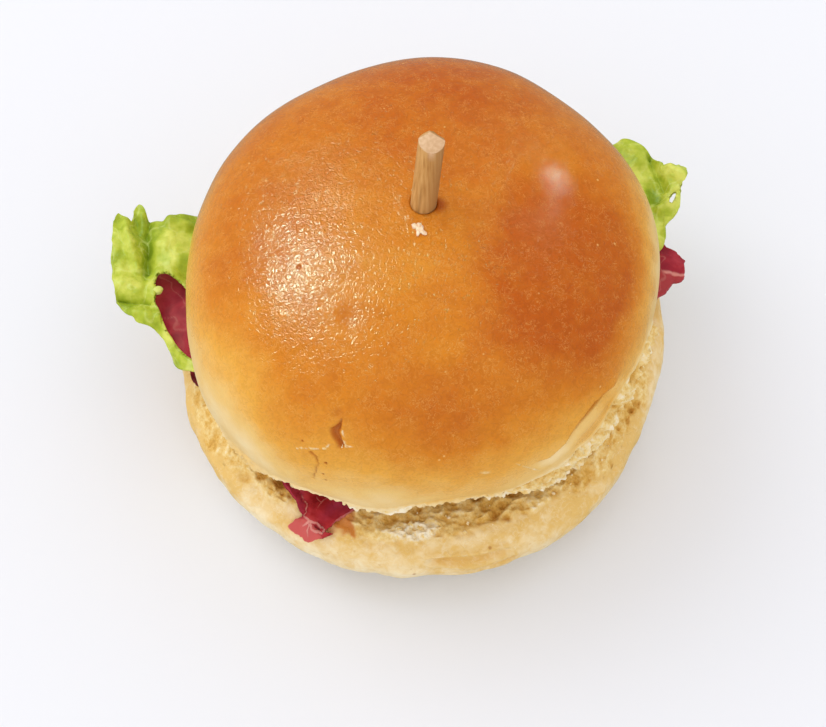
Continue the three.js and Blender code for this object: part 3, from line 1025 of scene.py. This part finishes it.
def make_slice(node, material):
    form = SLICES[node]
    along_y = node == "slice_front"
    piece, _, across, x, y = sheet(node + "_meat", form["edges"], *form["grid"], along_y)
    flat = np.stack([x, y, np.zeros_like(x)], axis=1)
    ragged = smoothstep(24, 29, np.hypot(x, y))
    x += ragged * (0.25 * grain(flat, 1.3, 37) + 0.1 * grain(flat, 0.5, 38))
    y += ragged * (0.25 * grain(flat, 1.3, 39) + 0.1 * grain(flat, 0.5, 40))
    outside = np.maximum(0, np.hypot(x, y) - form["flat"])
    free = smoothstep(0, 5, outside)
    base = np.maximum(form["rest"] + form["slope"] * outside, heel_top(x, y) + 0.65)
    fold = np.cos(form["folds"] * math.pi * (across + 0.25 * grain(flat, 6, 30)))
    wavy = form["fold"] * (1 + fold)
    fat = 0.3 * smoothstep(0.04, 0.0, np.abs(grain(flat, 7.0, 32) + 0.2 * grain(flat, 1.5, 33)))
    pink = 0.15 * smoothstep(0.2, 0.7, grain(flat, 4.0, 35))
    lift = np.zeros(len(x))
    purple = np.full(len(x), 0.5)
    dark = smoothstep(LEAF_SHADOW_CORNER[2], 0.8, np.hypot(x - LEAF_SHADOW_CORNER[0], y - LEAF_SHADOW_CORNER[1]))
    if along_y:
        strings = [smoothstep(0.02, -0.045, from_chain(flat, chain)[0]) for chain in FAT_STRINGS]
        strings = np.max(strings, axis=0)
        from_knot = np.stack([x - KNOT[0], y - KNOT[1]], axis=1)
        near_knot = np.hypot(*from_knot.T)
        pink = smoothstep(-0.1, 0.2, from_knot @ PINK_SIDE) * smoothstep(-28.0, -28.3, y)
        across_crest = from_knot @ PURPLE_SIDE
        from_crest = from_chain(flat, FOLD_CREST)[0]
        wavy *= 0.4 * smoothstep(-28, -24, y)
        dark = smoothstep(0.2, -0.05, from_chain(flat, LOOP_HOLLOW_SHADE)[0])
        lift = 0.06 * strings + 0.45 * smoothstep(1.3, 0.1, near_knot) - 0.35 * dark
        lift += 0.7 * smoothstep(1.7, 0, from_crest) + 0.25 * pink * grain(flat, 1.1, 36)
        beside_string = smoothstep(0.9, 0.2, from_chain(flat, FAT_STRINGS[0])[0])
        lift -= 0.25 * beside_string * smoothstep(-29, -27, y)
        fat = np.maximum(strings, smoothstep(0.25, 0.08, near_knot)) * (1 - 0.8 * dark)
        fat = np.maximum(fat, 0.5 * pink * smoothstep(0.96, 1.0, np.abs(across)))
        # a pale line along the band's edge, painted as an edge highlight
        edge_highlight = smoothstep(-29.8, -28.8, y) * smoothstep(-26.0, -26.8, y)
        fat = np.maximum(fat, 0.5 * edge_highlight * smoothstep(0.955, 0.985, across))
        purple = smoothstep(0, 1.2, across_crest) * smoothstep(-29.6, -26.4, y) * (1 - pink)
        purple = np.maximum(purple, 0.6 * smoothstep(-16.3, -16.8, x) * (1 - pink))
    if node == "slice_right":
        # the lower lobe is painted pinker and lighter, partly as painted light; the pale line along the
        # fold is a painted highlight
        pink = 0.03 + 0.35 * smoothstep(9.5, 8.9, y)
        fold_highlight_line = np.abs(y - 9.2 + 0.3 * grain(flat, 0.9, 41))
        fat = np.maximum(fat, smoothstep(0.25, 0.05, fold_highlight_line) * smoothstep(33, 34, x))
    z = base + free * (wavy + 0.2 * grain(flat, 2.5, 31)) + lift
    paint(piece, "pink", pink)
    paint(piece, "purple", purple)
    paint(piece, "dark", dark)
    paint(piece, "fat", fat)
    put_points(piece, np.stack([x, y, z], axis=1))
    apply_modifier(piece, "SOLIDIFY", thickness=SLICE_THICKNESS * MM, offset=0.0)
    shade_smooth(piece)
    finish_piece(piece, node, material)


# ---- Stick -----------------------------------------------------------------------------


def cut_away(piece, place, normal):
    """Cuts a closed piece by a plane, drops the side the normal points to and closes it."""
    activate(piece)
    edit_mode()
    bpy.ops.mesh.select_all(action="SELECT")
    bpy.ops.mesh.bisect(
        plane_co=tuple(value * MM for value in place), plane_no=normal, use_fill=True, clear_outer=True
    )
    object_mode()


def make_stick(material):
    radius = STICK["radius"]
    tip = STICK["tip_height"]
    top = STICK["top_height"]
    profile = [
        (STICK["tip_radius"], tip),
        (radius, tip + STICK["point_length"]),
        (radius, 30.0),
        *((radius, 45.0 + 2.0 * step) for step in range(10)),
        (radius, top + 2),
    ]
    piece = turned("bamboo_stick", profile, 48)
    apex = (*STICK["apex"], top)
    for cut in STICK["cuts"]:
        cut_away(piece, apex, cut)
    apply_modifier(piece, "BEVEL", width=0.08 * MM, segments=2, limit_method="ANGLE")
    points = points_of(piece)
    front = np.array(STICK["cuts"][0]) / np.linalg.norm(STICK["cuts"][0])
    paint(piece, "end", smoothstep(-0.06, -0.01, (points - apex) @ front))
    split_side = np.hypot(points[:, 0] - STICK["split"][0], points[:, 1] - STICK["split"][1])
    paint(piece, "split", smoothstep(0.2, 0.03, split_side) * smoothstep(56, 54, points[:, 2]))
    # painted shade: the stick's right side, away from the main light, is painted darker
    paint(piece, "skin", smoothstep(-0.5, 0.9, points[:, 0] / radius) * (points[:, 2] > 40))
    lean = Euler((math.radians(-STICK["lean_back"]), math.radians(STICK["lean_right"]), 0), "YXZ")
    turn = np.array(lean.to_matrix())
    pivot = np.array(STICK["pivot"])
    upright = points - np.array([0, 0, pivot[2]])
    put_points(piece, upright @ turn.T + pivot)
    activate(piece)
    bpy.ops.object.shade_smooth_by_angle(angle=math.radians(25))
    finish_piece(piece, "skewer", material)


# ---- Loose crumbs ----------------------------------------------------------------------

CRUMB_COUNT = 60
# middle x, y of larger crumbs on the lower half and their size
LARGE_CRUMBS = (
    (16.9, -22.4, 0.8),
    (17.6, -24.6, 0.6),
    (21.4, -18.3, 0.6),
    (-3.6, -30.2, 0.8),
    (-2.0, -29.6, 0.9),
    (-0.6, -30.1, 0.8),
    (0.8, -30.6, 0.9),
    (1.9, -29.9, 0.7),
    (-0.2, -31.1, 0.6),
)


def make_crumbs(material):
    deselect_all()
    bpy.ops.mesh.primitive_ico_sphere_add(subdivisions=3, radius=1 * MM)
    first = begin("bread_crumbs")
    points = points_of(first)
    points *= (1 + 0.45 * grain(points, 0.8, 50) + 0.2 * ridges(points, 0.45, 51))[:, None]
    paint(first, "pit", np.clip(0.75 + 0.4 * grain(points, 0.5, 52), 0, 1))
    put_points(first, points)
    shade_smooth(first)
    rng = random.Random(7)
    places = list(LARGE_CRUMBS)
    for _ in range(CRUMB_COUNT):
        bearing = math.radians(rng.triangular(-165, 10, -50))
        reach = rng.uniform(27.6, 31.4)
        size = 0.2 + 0.35 * rng.random() ** 2
        places.append((reach * math.cos(bearing), reach * math.sin(bearing), size))
    shape = points_of(first)
    pieces = [first]
    for index, (x, y, size) in enumerate(places):
        crumb = first
        if index:
            crumb = first.copy()
            crumb.data = first.data.copy()
            bpy.context.collection.objects.link(crumb)
            pieces.append(crumb)
        turn = Euler([rng.uniform(0, 6.28) for _ in range(3)]).to_matrix()
        squash = np.array([rng.uniform(0.7, 1.3), rng.uniform(0.6, 1.1), rng.uniform(0.6, 1.0)])
        z = float(heel_top(np.array([x]), np.array([y]))[0])
        centre = np.array([x, y, z + 0.35 * size])
        put_points(crumb, (shape * squash * size * 0.5) @ np.array(turn).T + centre)
    deselect_all()
    for crumb in pieces:
        crumb.select_set(True)
    bpy.context.view_layer.objects.active = first
    bpy.ops.object.join()
    finish_piece(first, None, material)


# arms of the pale crumb on top: bearing and length
STAR_ARMS = ((142, 0.85), (88, 0.7), (-102, 0.8), (-40, 0.95), (25, 0.25))
STAR_PLACE = (-0.91, -3.7, 49.6)


def make_star_crumb(material):
    """A small pale crumb with blunt arms, lying on top of the upper crust."""
    deselect_all()
    bpy.ops.mesh.primitive_uv_sphere_add(segments=48, ring_count=24, radius=1 * MM)
    piece = begin("star_crumb")
    points = points_of(piece)
    bearing = np.degrees(np.arctan2(points[:, 1], points[:, 0]))
    arms = np.full(len(points), 0.45)
    for middle, length in STAR_ARMS:
        away = np.abs((bearing - middle + 180) % 360 - 180)
        arms += length * smoothstep(42, 0, away)
    points[:, :2] *= (arms + 0.2 * grain(points, 0.5, 60))[:, None]
    points[:, 2] *= 0.35
    points += (0.1 * grain(points, 0.35, 61))[:, None]
    paint(piece, "pit", np.full(len(points), 0.95))
    put_points(piece, points * 0.9 + STAR_PLACE)
    shade_smooth(piece)
    finish_piece(piece, None, material)


# ---- Materials -------------------------------------------------------------------------


def srgb(red, green, blue):
    """A colour given as sRGB numbers up to 255, as the shader wants it."""
    def linear(value):
        value /= 255
        return value / 12.92 if value <= 0.04045 else ((value + 0.055) / 1.055) ** 2.4
    return (linear(red), linear(green), linear(blue), 1.0)


class Tree:
    """A node tree with short ways to add and join nodes."""

    def __init__(self, tree):
        self.tree = tree

    def node(self, kind, **settings):
        node = self.tree.nodes.new(kind)
        for key, value in settings.items():
            setattr(node, key, value)
        return node

    def feed(self, socket, value):
        """Puts a constant on a socket or joins another node's output to it."""
        if isinstance(value, (int, float, tuple)):
            socket.default_value = value
        else:
            self.tree.links.new(value, socket)

    def place(self):
        return self.node("ShaderNodeTexCoord").outputs["Object"]

    def stretched_place(self, scale):
        mapping = self.node("ShaderNodeMapping")
        mapping.inputs["Scale"].default_value = scale
        self.feed(mapping.inputs["Vector"], self.place())
        return mapping.outputs["Vector"]

    def noise(self, size, detail=3.0, distort=0.0, place=None):
        node = self.node("ShaderNodeTexNoise")
        node.inputs["Scale"].default_value = 1 / (size * MM)
        node.inputs["Detail"].default_value = detail
        node.inputs["Distortion"].default_value = distort
        self.feed(node.inputs["Vector"], place or self.place())
        return node.outputs["Fac"]

    def sized_texture(self, kind, size, **settings):
        """A texture on the piece's own place, whose size in metres is another output."""
        texture = self.node(kind, **settings)
        self.feed(texture.inputs["Vector"], self.place())
        self.feed(texture.inputs["Scale"], self.math("DIVIDE", 1.0, size))
        return texture

    def math(self, operation, first, second=0.0):
        node = self.node("ShaderNodeMath", operation=operation)
        self.feed(node.inputs[0], first)
        self.feed(node.inputs[1], second)
        return node.outputs["Value"]

    def times(self, first, second):
        return self.math("MULTIPLY", first, second)

    def plus(self, first, second):
        return self.math("ADD", first, second)

    def minus(self, first, second):
        return self.math("SUBTRACT", first, second)

    def spread(self, value, low, high, to_low=0.0, to_high=1.0):
        node = self.node("ShaderNodeMapRange", interpolation_type="SMOOTHSTEP")
        self.feed(node.inputs["Value"], value)
        limits = {"From Min": low, "From Max": high, "To Min": to_low, "To Max": to_high}
        for name, number in limits.items():
            self.feed(node.inputs[name], number)
        return node.outputs["Result"]

    def ramp(self, value, stops):
        node = self.node("ShaderNodeValToRGB")
        elements = node.color_ramp.elements
        while len(elements) < len(stops):
            elements.new(0.5)
        for element, (place, colour) in zip(elements, stops):
            element.position = place
            element.color = colour
        self.feed(node.inputs["Fac"], value)
        return node.outputs["Color"]

    def mix(self, share, first, second, blend="MIX"):
        node = self.node("ShaderNodeMix", data_type="RGBA", blend_type=blend)
        self.feed(node.inputs[0], share)
        self.feed(node.inputs[6], first)
        self.feed(node.inputs[7], second)
        return node.outputs[2]

    def attribute(self, name):
        return self.node("ShaderNodeAttribute", attribute_name=name).outputs["Fac"]

    def stain(self, under, where, share, colour):
        """Lays a share of a colour over another, where a mask or an attribute says."""
        if isinstance(where, str):
            where = self.attribute(where)
        return self.mix(self.times(where, share), under, colour)

    def group(self, tree, **values):
        node = self.node("ShaderNodeGroup", node_tree=tree)
        for name, value in values.items():
            self.feed(node.inputs[name], value)
        return node.outputs

    def bump(self, height, strength, distance, under=None):
        node = self.node("ShaderNodeBump")
        node.inputs["Strength"].default_value = strength
        node.inputs["Distance"].default_value = distance * MM
        self.feed(node.inputs["Height"], height)
        if under:
            self.feed(node.inputs["Normal"], under)
        return node.outputs["Normal"]


class Surface(Tree):
    """A material with its Principled surface."""

    def __init__(self, name):
        self.material = bpy.data.materials.new(name)
        self.material.use_nodes = True
        super().__init__(self.material.node_tree)
        self.principled = self.tree.nodes["Principled BSDF"]

    def set(self, name, value):
        self.feed(self.principled.inputs[name], value)


def new_group(name, inputs, outputs):
    """An empty shader node group; gives its tree tool, input sockets and output node."""
    tree = bpy.data.node_groups.new(name, "ShaderNodeTree")
    for label, default in inputs:
        socket = tree.interface.new_socket(label, in_out="INPUT", socket_type="NodeSocketFloat")
        socket.default_value = default
    for label, kind in outputs:
        tree.interface.new_socket(label, in_out="OUTPUT", socket_type=kind)
    tool = Tree(tree)
    return tool, tool.node("NodeGroupInput").outputs, tool.node("NodeGroupOutput").inputs


def mottle_group():
    """Soft random patches of a given size in metres, from a low to a high value."""
    inputs = (("Size", 0.001), ("Distortion", 0.0), ("Low", 0.0), ("High", 1.0))
    tool, given, result = new_group("mottle", inputs, (("Value", "NodeSocketFloat"),))
    texture = tool.sized_texture("ShaderNodeTexNoise", given["Size"])
    texture.inputs["Detail"].default_value = 4.0
    tool.feed(texture.inputs["Distortion"], given["Distortion"])
    value = tool.spread(texture.outputs["Fac"], 0.3, 0.7, given["Low"], given["High"])
    tool.feed(result["Value"], value)
    return tool.tree


def specks_group():
    """Small round specks on some of the cells of a given size in metres."""
    inputs = (("Size", 0.002), ("Reach", 0.15))
    tool, given, result = new_group("specks", inputs, (("Mask", "NodeSocketFloat"),))
    texture = tool.sized_texture("ShaderNodeTexVoronoi", given["Size"], feature="F1")
    inner = tool.times(given["Reach"], 0.4)
    dot = tool.spread(texture.outputs["Distance"], inner, given["Reach"], 1.0, 0.0)
    split = tool.node("ShaderNodeSeparateColor")
    tool.feed(split.inputs["Color"], texture.outputs["Color"])
    some = tool.spread(split.outputs["Red"], 0.45, 0.6)
    tool.feed(result["Mask"], tool.times(dot, some))
    return tool.tree


def wrinkles_group():
    """Fine wriggling wrinkles of a given size in metres, and pale lines along some."""
    outputs = (("Height", "NodeSocketFloat"), ("Lines", "NodeSocketFloat"))
    tool, given, result = new_group("wrinkles", (("Size", 0.001),), outputs)
    texture = tool.sized_texture("ShaderNodeTexNoise", given["Size"])
    texture.inputs["Detail"].default_value = 2.5
    texture.inputs["Distortion"].default_value = 1.4
    tool.feed(result["Height"], texture.outputs["Fac"])
    from_middle = tool.math("ABSOLUTE", tool.minus(texture.outputs["Fac"], 0.5))
    lines = tool.spread(from_middle, 0.0, 0.04, 1.0, 0.0)
    some = tool.spread(tool.noise(1.6, detail=2), 0.38, 0.6)
    tool.feed(result["Lines"], tool.times(lines, some))
    return tool.tree


def crumb_group(mottle):
    """Pale bread crumb, straw in the open and browner in the pores, partly as painted shade in them."""
    outputs = (("Colour", "NodeSocketColor"), ("Height", "NodeSocketFloat"))
    tool, given, result = new_group("crumb_look", (("Pit", 0.5),), outputs)
    fine = tool.group(mottle, Size=0.8 * MM, Low=-0.13, High=0.13)["Value"]
    finer = tool.group(mottle, Size=0.3 * MM, Low=-0.08, High=0.08)["Value"]
    depth = tool.plus(given["Pit"], tool.plus(fine, finer))
    stops = (
        (0.0, srgb(186, 128, 42)),
        (0.35, srgb(223, 176, 88)),
        (0.65, srgb(241, 211, 143)),
        (0.95, srgb(250, 237, 208)),
    )
    tool.feed(result["Colour"], tool.ramp(depth, stops))
    tool.feed(result["Height"], depth)
    return tool.tree


MOTTLE = mottle_group()
SPECKS = specks_group()
WRINKLES = wrinkles_group()
CRUMB_LOOK = crumb_group(MOTTLE)


def mottled(surface, size, low, high, distort=0.0):
    return surface.group(MOTTLE, Size=size * MM, Low=low, High=high, Distortion=distort)["Value"]


def crown_material():
    surface = Surface("glazed_crust")
    bake = surface.plus(surface.attribute("bake"), mottled(surface, 13, -0.045, 0.045))
    bake = surface.plus(bake, mottled(surface, 3.5, -0.04, 0.04))
    stops = (
        (0.0, srgb(248, 222, 168)),
        (0.2, srgb(241, 198, 116)),
        (0.42, srgb(230, 166, 64)),
        (0.7, srgb(211, 127, 31)),
        (1.0, srgb(186, 88, 16)),
    )
    crust = surface.ramp(bake, stops)
    wrinkles = surface.group(WRINKLES, Size=0.68 * MM)
    lines = surface.times(wrinkles["Lines"], surface.spread(bake, 0.1, 0.4, 0.12, 0.32))
    crust = surface.mix(lines, crust, srgb(244, 184, 100))
    # painted shade and light of the wrinkles: darker in their valleys, lighter on their crests
    painted_relief_shade = surface.spread(wrinkles["Height"], 0.3, 0.7, 0.94, 1.06)
    relief_shaded_crust = surface.mix(1.0, crust, painted_relief_shade, "MULTIPLY")
    crust = surface.mix(surface.spread(bake, 0.1, 0.5, 0.2, 1.0), crust, relief_shaded_crust)
    pale = surface.group(SPECKS, Size=2.6 * MM, Reach=0.09)["Mask"]
    crust = surface.stain(crust, pale, 0.55, srgb(248, 200, 120))
    # scorched marks, and the painted shadow of the stick beside it
    crust = surface.mix(surface.attribute("scorch_and_stick_shadow"), crust, srgb(176, 84, 14))
    crust = surface.mix(surface.attribute("wound"), crust, srgb(196, 112, 44))
    crumb = surface.attribute("crumb")
    look = surface.group(CRUMB_LOOK, Pit=surface.attribute("pit"))
    surface.set("Base Color", surface.mix(crumb, crust, look["Colour"]))
    gloss = surface.spread(bake, 0.1, 0.5, 0.4, 0.12)
    gloss = surface.plus(gloss, mottled(surface, 5, -0.02, 0.05))
    calm = surface.attribute("calm")
    gloss = surface.minus(gloss, surface.times(calm, 0.06))
    surface.set("Roughness", surface.math("MAXIMUM", gloss, surface.spread(crumb, 0, 1, 0.0, 0.9)))
    surface.set("Specular IOR Level", 0.32)
    depth = surface.times(wrinkles["Height"], surface.spread(bake, 0.05, 0.4, 0.25, 1.0))
    depth = surface.times(depth, surface.spread(calm, 0, 1, 1.0, 0.12))
    waves = surface.noise(2.6, detail=2, distort=0.6)
    waves = surface.times(waves, surface.spread(calm, 0, 1, 1.0, 0.06))
    normal = surface.bump(waves, 1.0, 0.09)
    normal = surface.bump(depth, 1.0, 0.125, normal)
    surface.set("Normal", surface.bump(look["Height"], 0.3, 0.12, normal))
    return surface.material


def heel_material():
    surface = Surface("pale_crust")
    split = surface.node("ShaderNodeSeparateXYZ")
    surface.feed(split.inputs["Vector"], surface.place())
    bake = surface.spread(split.outputs["Z"], 0, 14 * MM, 0.0, 0.7)
    bake = surface.plus(bake, surface.attribute("tan"))
    bake = surface.plus(bake, mottled(surface, 9, -0.2, 0.2))
    bake = surface.plus(bake, mottled(surface, 3.6, -0.12, 0.12, 1.0))
    bake = surface.plus(bake, mottled(surface, 1.2, -0.08, 0.08, 0.8))
    stops = (
        (0.1, srgb(253, 240, 212)),
        (0.5, srgb(249, 228, 184)),
        (0.95, srgb(232, 190, 109)),
    )
    crust = surface.ramp(bake, stops)
    spots = surface.group(SPECKS, Size=5.0 * MM, Reach=0.07)["Mask"]
    crust = surface.stain(crust, spots, 0.6, srgb(176, 110, 50))
    pores = surface.group(SPECKS, Size=1.9 * MM, Reach=0.14)["Mask"]
    crust = surface.stain(crust, pores, 0.45, srgb(214, 166, 88))
    wrinkles = surface.group(WRINKLES, Size=1.2 * MM)
    crust = surface.stain(crust, wrinkles["Lines"], 0.2, srgb(255, 246, 222))
    crumb = surface.attribute("crumb")
    look = surface.group(CRUMB_LOOK, Pit=surface.attribute("pit"))
    bread = surface.mix(crumb, crust, look["Colour"])
    sauce = surface.attribute("sauce")
    surface.set("Base Color", surface.stain(bread, sauce, 0.9, srgb(204, 116, 36)))
    dry = surface.spread(crumb, 0, 1, 0.55, 0.9)
    surface.set("Roughness", surface.minus(dry, surface.times(sauce, 0.35)))
    surface.set("Specular IOR Level", 0.3)
    normal = surface.bump(surface.noise(1.6, detail=4, distort=0.5), 0.6, 0.35)
    normal = surface.bump(wrinkles["Height"], 0.8, 0.2, normal)
    surface.set("Normal", surface.bump(look["Height"], 0.3, 0.12, normal))
    return surface.material


def crumb_material():
    surface = Surface("loose_crumb")
    look = surface.group(CRUMB_LOOK, Pit=surface.attribute("pit"))
    surface.set("Base Color", look["Colour"])
    surface.set("Roughness", 0.9)
    surface.set("Specular IOR Level", 0.2)
    return surface.material


def pale_crumb_material():
    surface = Surface("pinkish_crumb")
    patches = mottled(surface, 0.6, 0.0, 1.0)
    surface.set("Base Color", surface.mix(patches, srgb(236, 192, 152), srgb(253, 231, 200)))
    surface.set("Roughness", 0.6)
    surface.set("Subsurface Weight", 0.2)
    surface.set("Subsurface Radius", (0.001, 0.0006, 0.0004))
    return surface.material


def leaf_material():
    surface = Surface("lettuce_green")
    # the height attribute is painted shade, darker green in the leaf's lower folds
    shade = surface.plus(surface.attribute("height"), mottled(surface, 4.5, -0.3, 0.3))
    shade = surface.plus(shade, mottled(surface, 1.3, -0.12, 0.12))
    stops = (
        (0.1, srgb(134, 158, 30)),
        (0.5, srgb(178, 192, 56)),
        (0.9, srgb(218, 222, 104)),
    )
    colour = surface.stain(surface.ramp(shade, stops), "vein", 0.45, srgb(214, 224, 130))
    surface.set("Base Color", colour)
    surface.set("Roughness", 0.45)
    surface.set("Specular IOR Level", 0.16)
    surface.set("Subsurface Weight", 0.2)
    surface.set("Subsurface Radius", (0.002, 0.002, 0.0008))
    surface.set("Normal", surface.bump(surface.noise(1.1, detail=3, distort=0.6), 0.6, 0.35))
    return surface.material


def meat_material():
    surface = Surface("cured_meat_red")
    tone = mottled(surface, 3.5, 0.0, 1.0, 0.5)
    stops = (
        (0.0, srgb(140, 28, 34)),
        (0.5, srgb(166, 42, 48)),
        (1.0, srgb(188, 62, 66)),
    )
    lean = surface.stain(surface.ramp(tone, stops), "purple", 0.5, srgb(160, 60, 92))
    lean = surface.mix(surface.attribute("pink"), lean, srgb(204, 94, 90))
    # painted shade: the corner under the leaf and the hollow inside the knot's loop
    lean = surface.stain(lean, "dark", 0.8, srgb(84, 26, 28))
    surface.set("Base Color", surface.stain(lean, "fat", 0.65, srgb(234, 168, 156)))
    surface.set("Roughness", 0.45)
    surface.set("Specular IOR Level", 0.04)
    surface.set("Subsurface Weight", 0.15)
    surface.set("Subsurface Radius", (0.003, 0.0008, 0.0008))
    surface.set("Normal", surface.bump(surface.noise(0.9, detail=3), 0.3, 0.14))
    return surface.material


def bamboo_material():
    surface = Surface("bamboo_wood")
    fibres = surface.noise(0.34, detail=3, place=surface.stretched_place((1, 1, 0.02)))
    stops = (
        (0.25, srgb(172, 118, 58)),
        (0.45, srgb(202, 150, 84)),
        (0.75, srgb(226, 178, 112)),
    )
    # painted shade on the stick's right side
    wood = surface.stain(surface.ramp(fibres, stops), "skin", 0.6, srgb(150, 98, 50))
    wood = surface.stain(wood, "split", 0.6, srgb(120, 78, 40))
    end = surface.mix(mottled(surface, 0.5, 0.0, 1.0), srgb(210, 166, 124), srgb(226, 186, 146))
    surface.set("Base Color", surface.mix(surface.attribute("end"), wood, end))
    surface.set("Roughness", 0.6)
    surface.set("Specular IOR Level", 0.3)
    surface.set("Normal", surface.bump(fibres, 0.3, 0.1))
    return surface.material


# ---- Stage -----------------------------------------------------------------------------

CAMERA_ELEVATION = 60.0
CAMERA_DISTANCE = 550.0
CAMERA_LENS = 165.9
CAMERA_TARGET = (-1.7, 4.4, 0.0)
FLOOR_SIZE = 3.0
FLOOR_COLOUR = (0.83, 0.84, 0.89, 1)
LAMP_TARGET = (0, 0, 0.03)
WORLD_MIDDLE = 1.03
WORLD_SLOPE = 0.13
WORLD_MIRRORED = 0.35
WORLD_BEARING = 172.0
WORLD_ELEVATION = 12.0
# name, bearing, elevation, distance, size (m), power (W), colour, only seen in reflections
LAMPS = (
    ("softbox", 150, 50, 1.5, 1.1, 3.7, (1.0, 0.98, 0.96), False),
    ("window_glint", 150, 56, 0.7, 0.18, 5.8, (0.5, 1.0, 0.8), True),
    ("window_halo", 158, 64, 0.7, 0.42, 0.75, (0.6, 1.0, 0.6), True),
    ("rear_glint", 51.5, 35.0, 0.8, 0.06, 0.34, (0.6, 1.0, 0.9), True),
    ("rear_spark", 43.5, 43.5, 0.8, 0.035, 0.08, (0.6, 1.0, 0.9), True),
)


def direction(bearing, elevation):
    flat = math.cos(math.radians(elevation))
    return Vector((
        flat * math.cos(math.radians(bearing)),
        flat * math.sin(math.radians(bearing)),
        math.sin(math.radians(elevation)),
    ))


def aim(thing, target):
    offset = Vector(target) - thing.location
    thing.rotation_euler = offset.to_track_quat("-Z", "Y").to_euler()


def add_camera():
    target = Vector(CAMERA_TARGET) * MM
    place = target + direction(-90, CAMERA_ELEVATION) * CAMERA_DISTANCE * MM
    bpy.ops.object.camera_add(location=place)
    camera = bpy.context.object
    camera.data.lens = CAMERA_LENS
    camera.data.sensor_width = 36
    camera.data.clip_start = 0.01
    aim(camera, target)
    bpy.context.scene.camera = camera


def add_light(name, bearing, elevation, distance, size, power, colour, mirrored):
    """A round lamp that either lights the scene or only shows as a reflection in it."""
    target = Vector(LAMP_TARGET)
    bpy.ops.object.light_add(type="AREA", location=target + direction(bearing, elevation) * distance)
    lamp = bpy.context.object
    lamp.name = name
    lamp.data.shape = "DISK"
    lamp.data.size = size
    lamp.data.energy = power
    lamp.data.color = colour
    lamp.visible_diffuse = not mirrored
    lamp.visible_glossy = mirrored
    aim(lamp, target)


def add_world():
    """White surroundings, a little brighter on the side of the main light."""
    world = bpy.data.worlds.new("studio")
    world.use_nodes = True
    tool = Tree(world.node_tree)
    toward = tool.node("ShaderNodeVectorMath", operation="DOT_PRODUCT")
    tool.feed(toward.inputs[0], tool.node("ShaderNodeTexCoord").outputs["Generated"])
    toward.inputs[1].default_value = direction(WORLD_BEARING, WORLD_ELEVATION)
    strength = tool.times(toward.outputs["Value"], WORLD_SLOPE)
    strength = tool.plus(strength, WORLD_MIDDLE)
    mirrored = tool.node("ShaderNodeLightPath").outputs["Is Glossy Ray"]
    strength = tool.times(strength, tool.spread(mirrored, 0, 1, 1, WORLD_MIRRORED))
    background = tool.tree.nodes["Background"]
    tint = tool.mix(mirrored, (1.0, 1.0, 1.0, 1), (0.85, 1.0, 0.9, 1))
    tool.feed(background.inputs["Color"], tint)
    tool.feed(background.inputs["Strength"], strength)
    bpy.context.scene.world = world


def add_stage():
    deselect_all()
    bpy.ops.mesh.primitive_plane_add(size=FLOOR_SIZE, location=(0, 0, -0.02 * MM))
    floor = bpy.context.object
    floor.name = "floor"
    surface = Surface("white_table")
    surface.set("Base Color", FLOOR_COLOUR)
    surface.set("Roughness", 0.9)
    surface.set("Specular IOR Level", 0.0)
    floor.data.materials.append(surface.material)
    floor.visible_glossy = False
    add_world()
    for lamp in LAMPS:
        add_light(*lamp)
    bpy.context.scene.view_settings.view_transform = "Standard"


# ---- The burger ------------------------------------------------------------------------

add_camera()
add_stage()
make_heel(heel_material())
make_crown(crown_material())
make_leaf(leaf_material())
meat = meat_material()
for slice_node in SLICES:
    make_slice(slice_node, meat)
make_stick(bamboo_material())
make_crumbs(crumb_material())
make_star_crumb(pale_crumb_material())
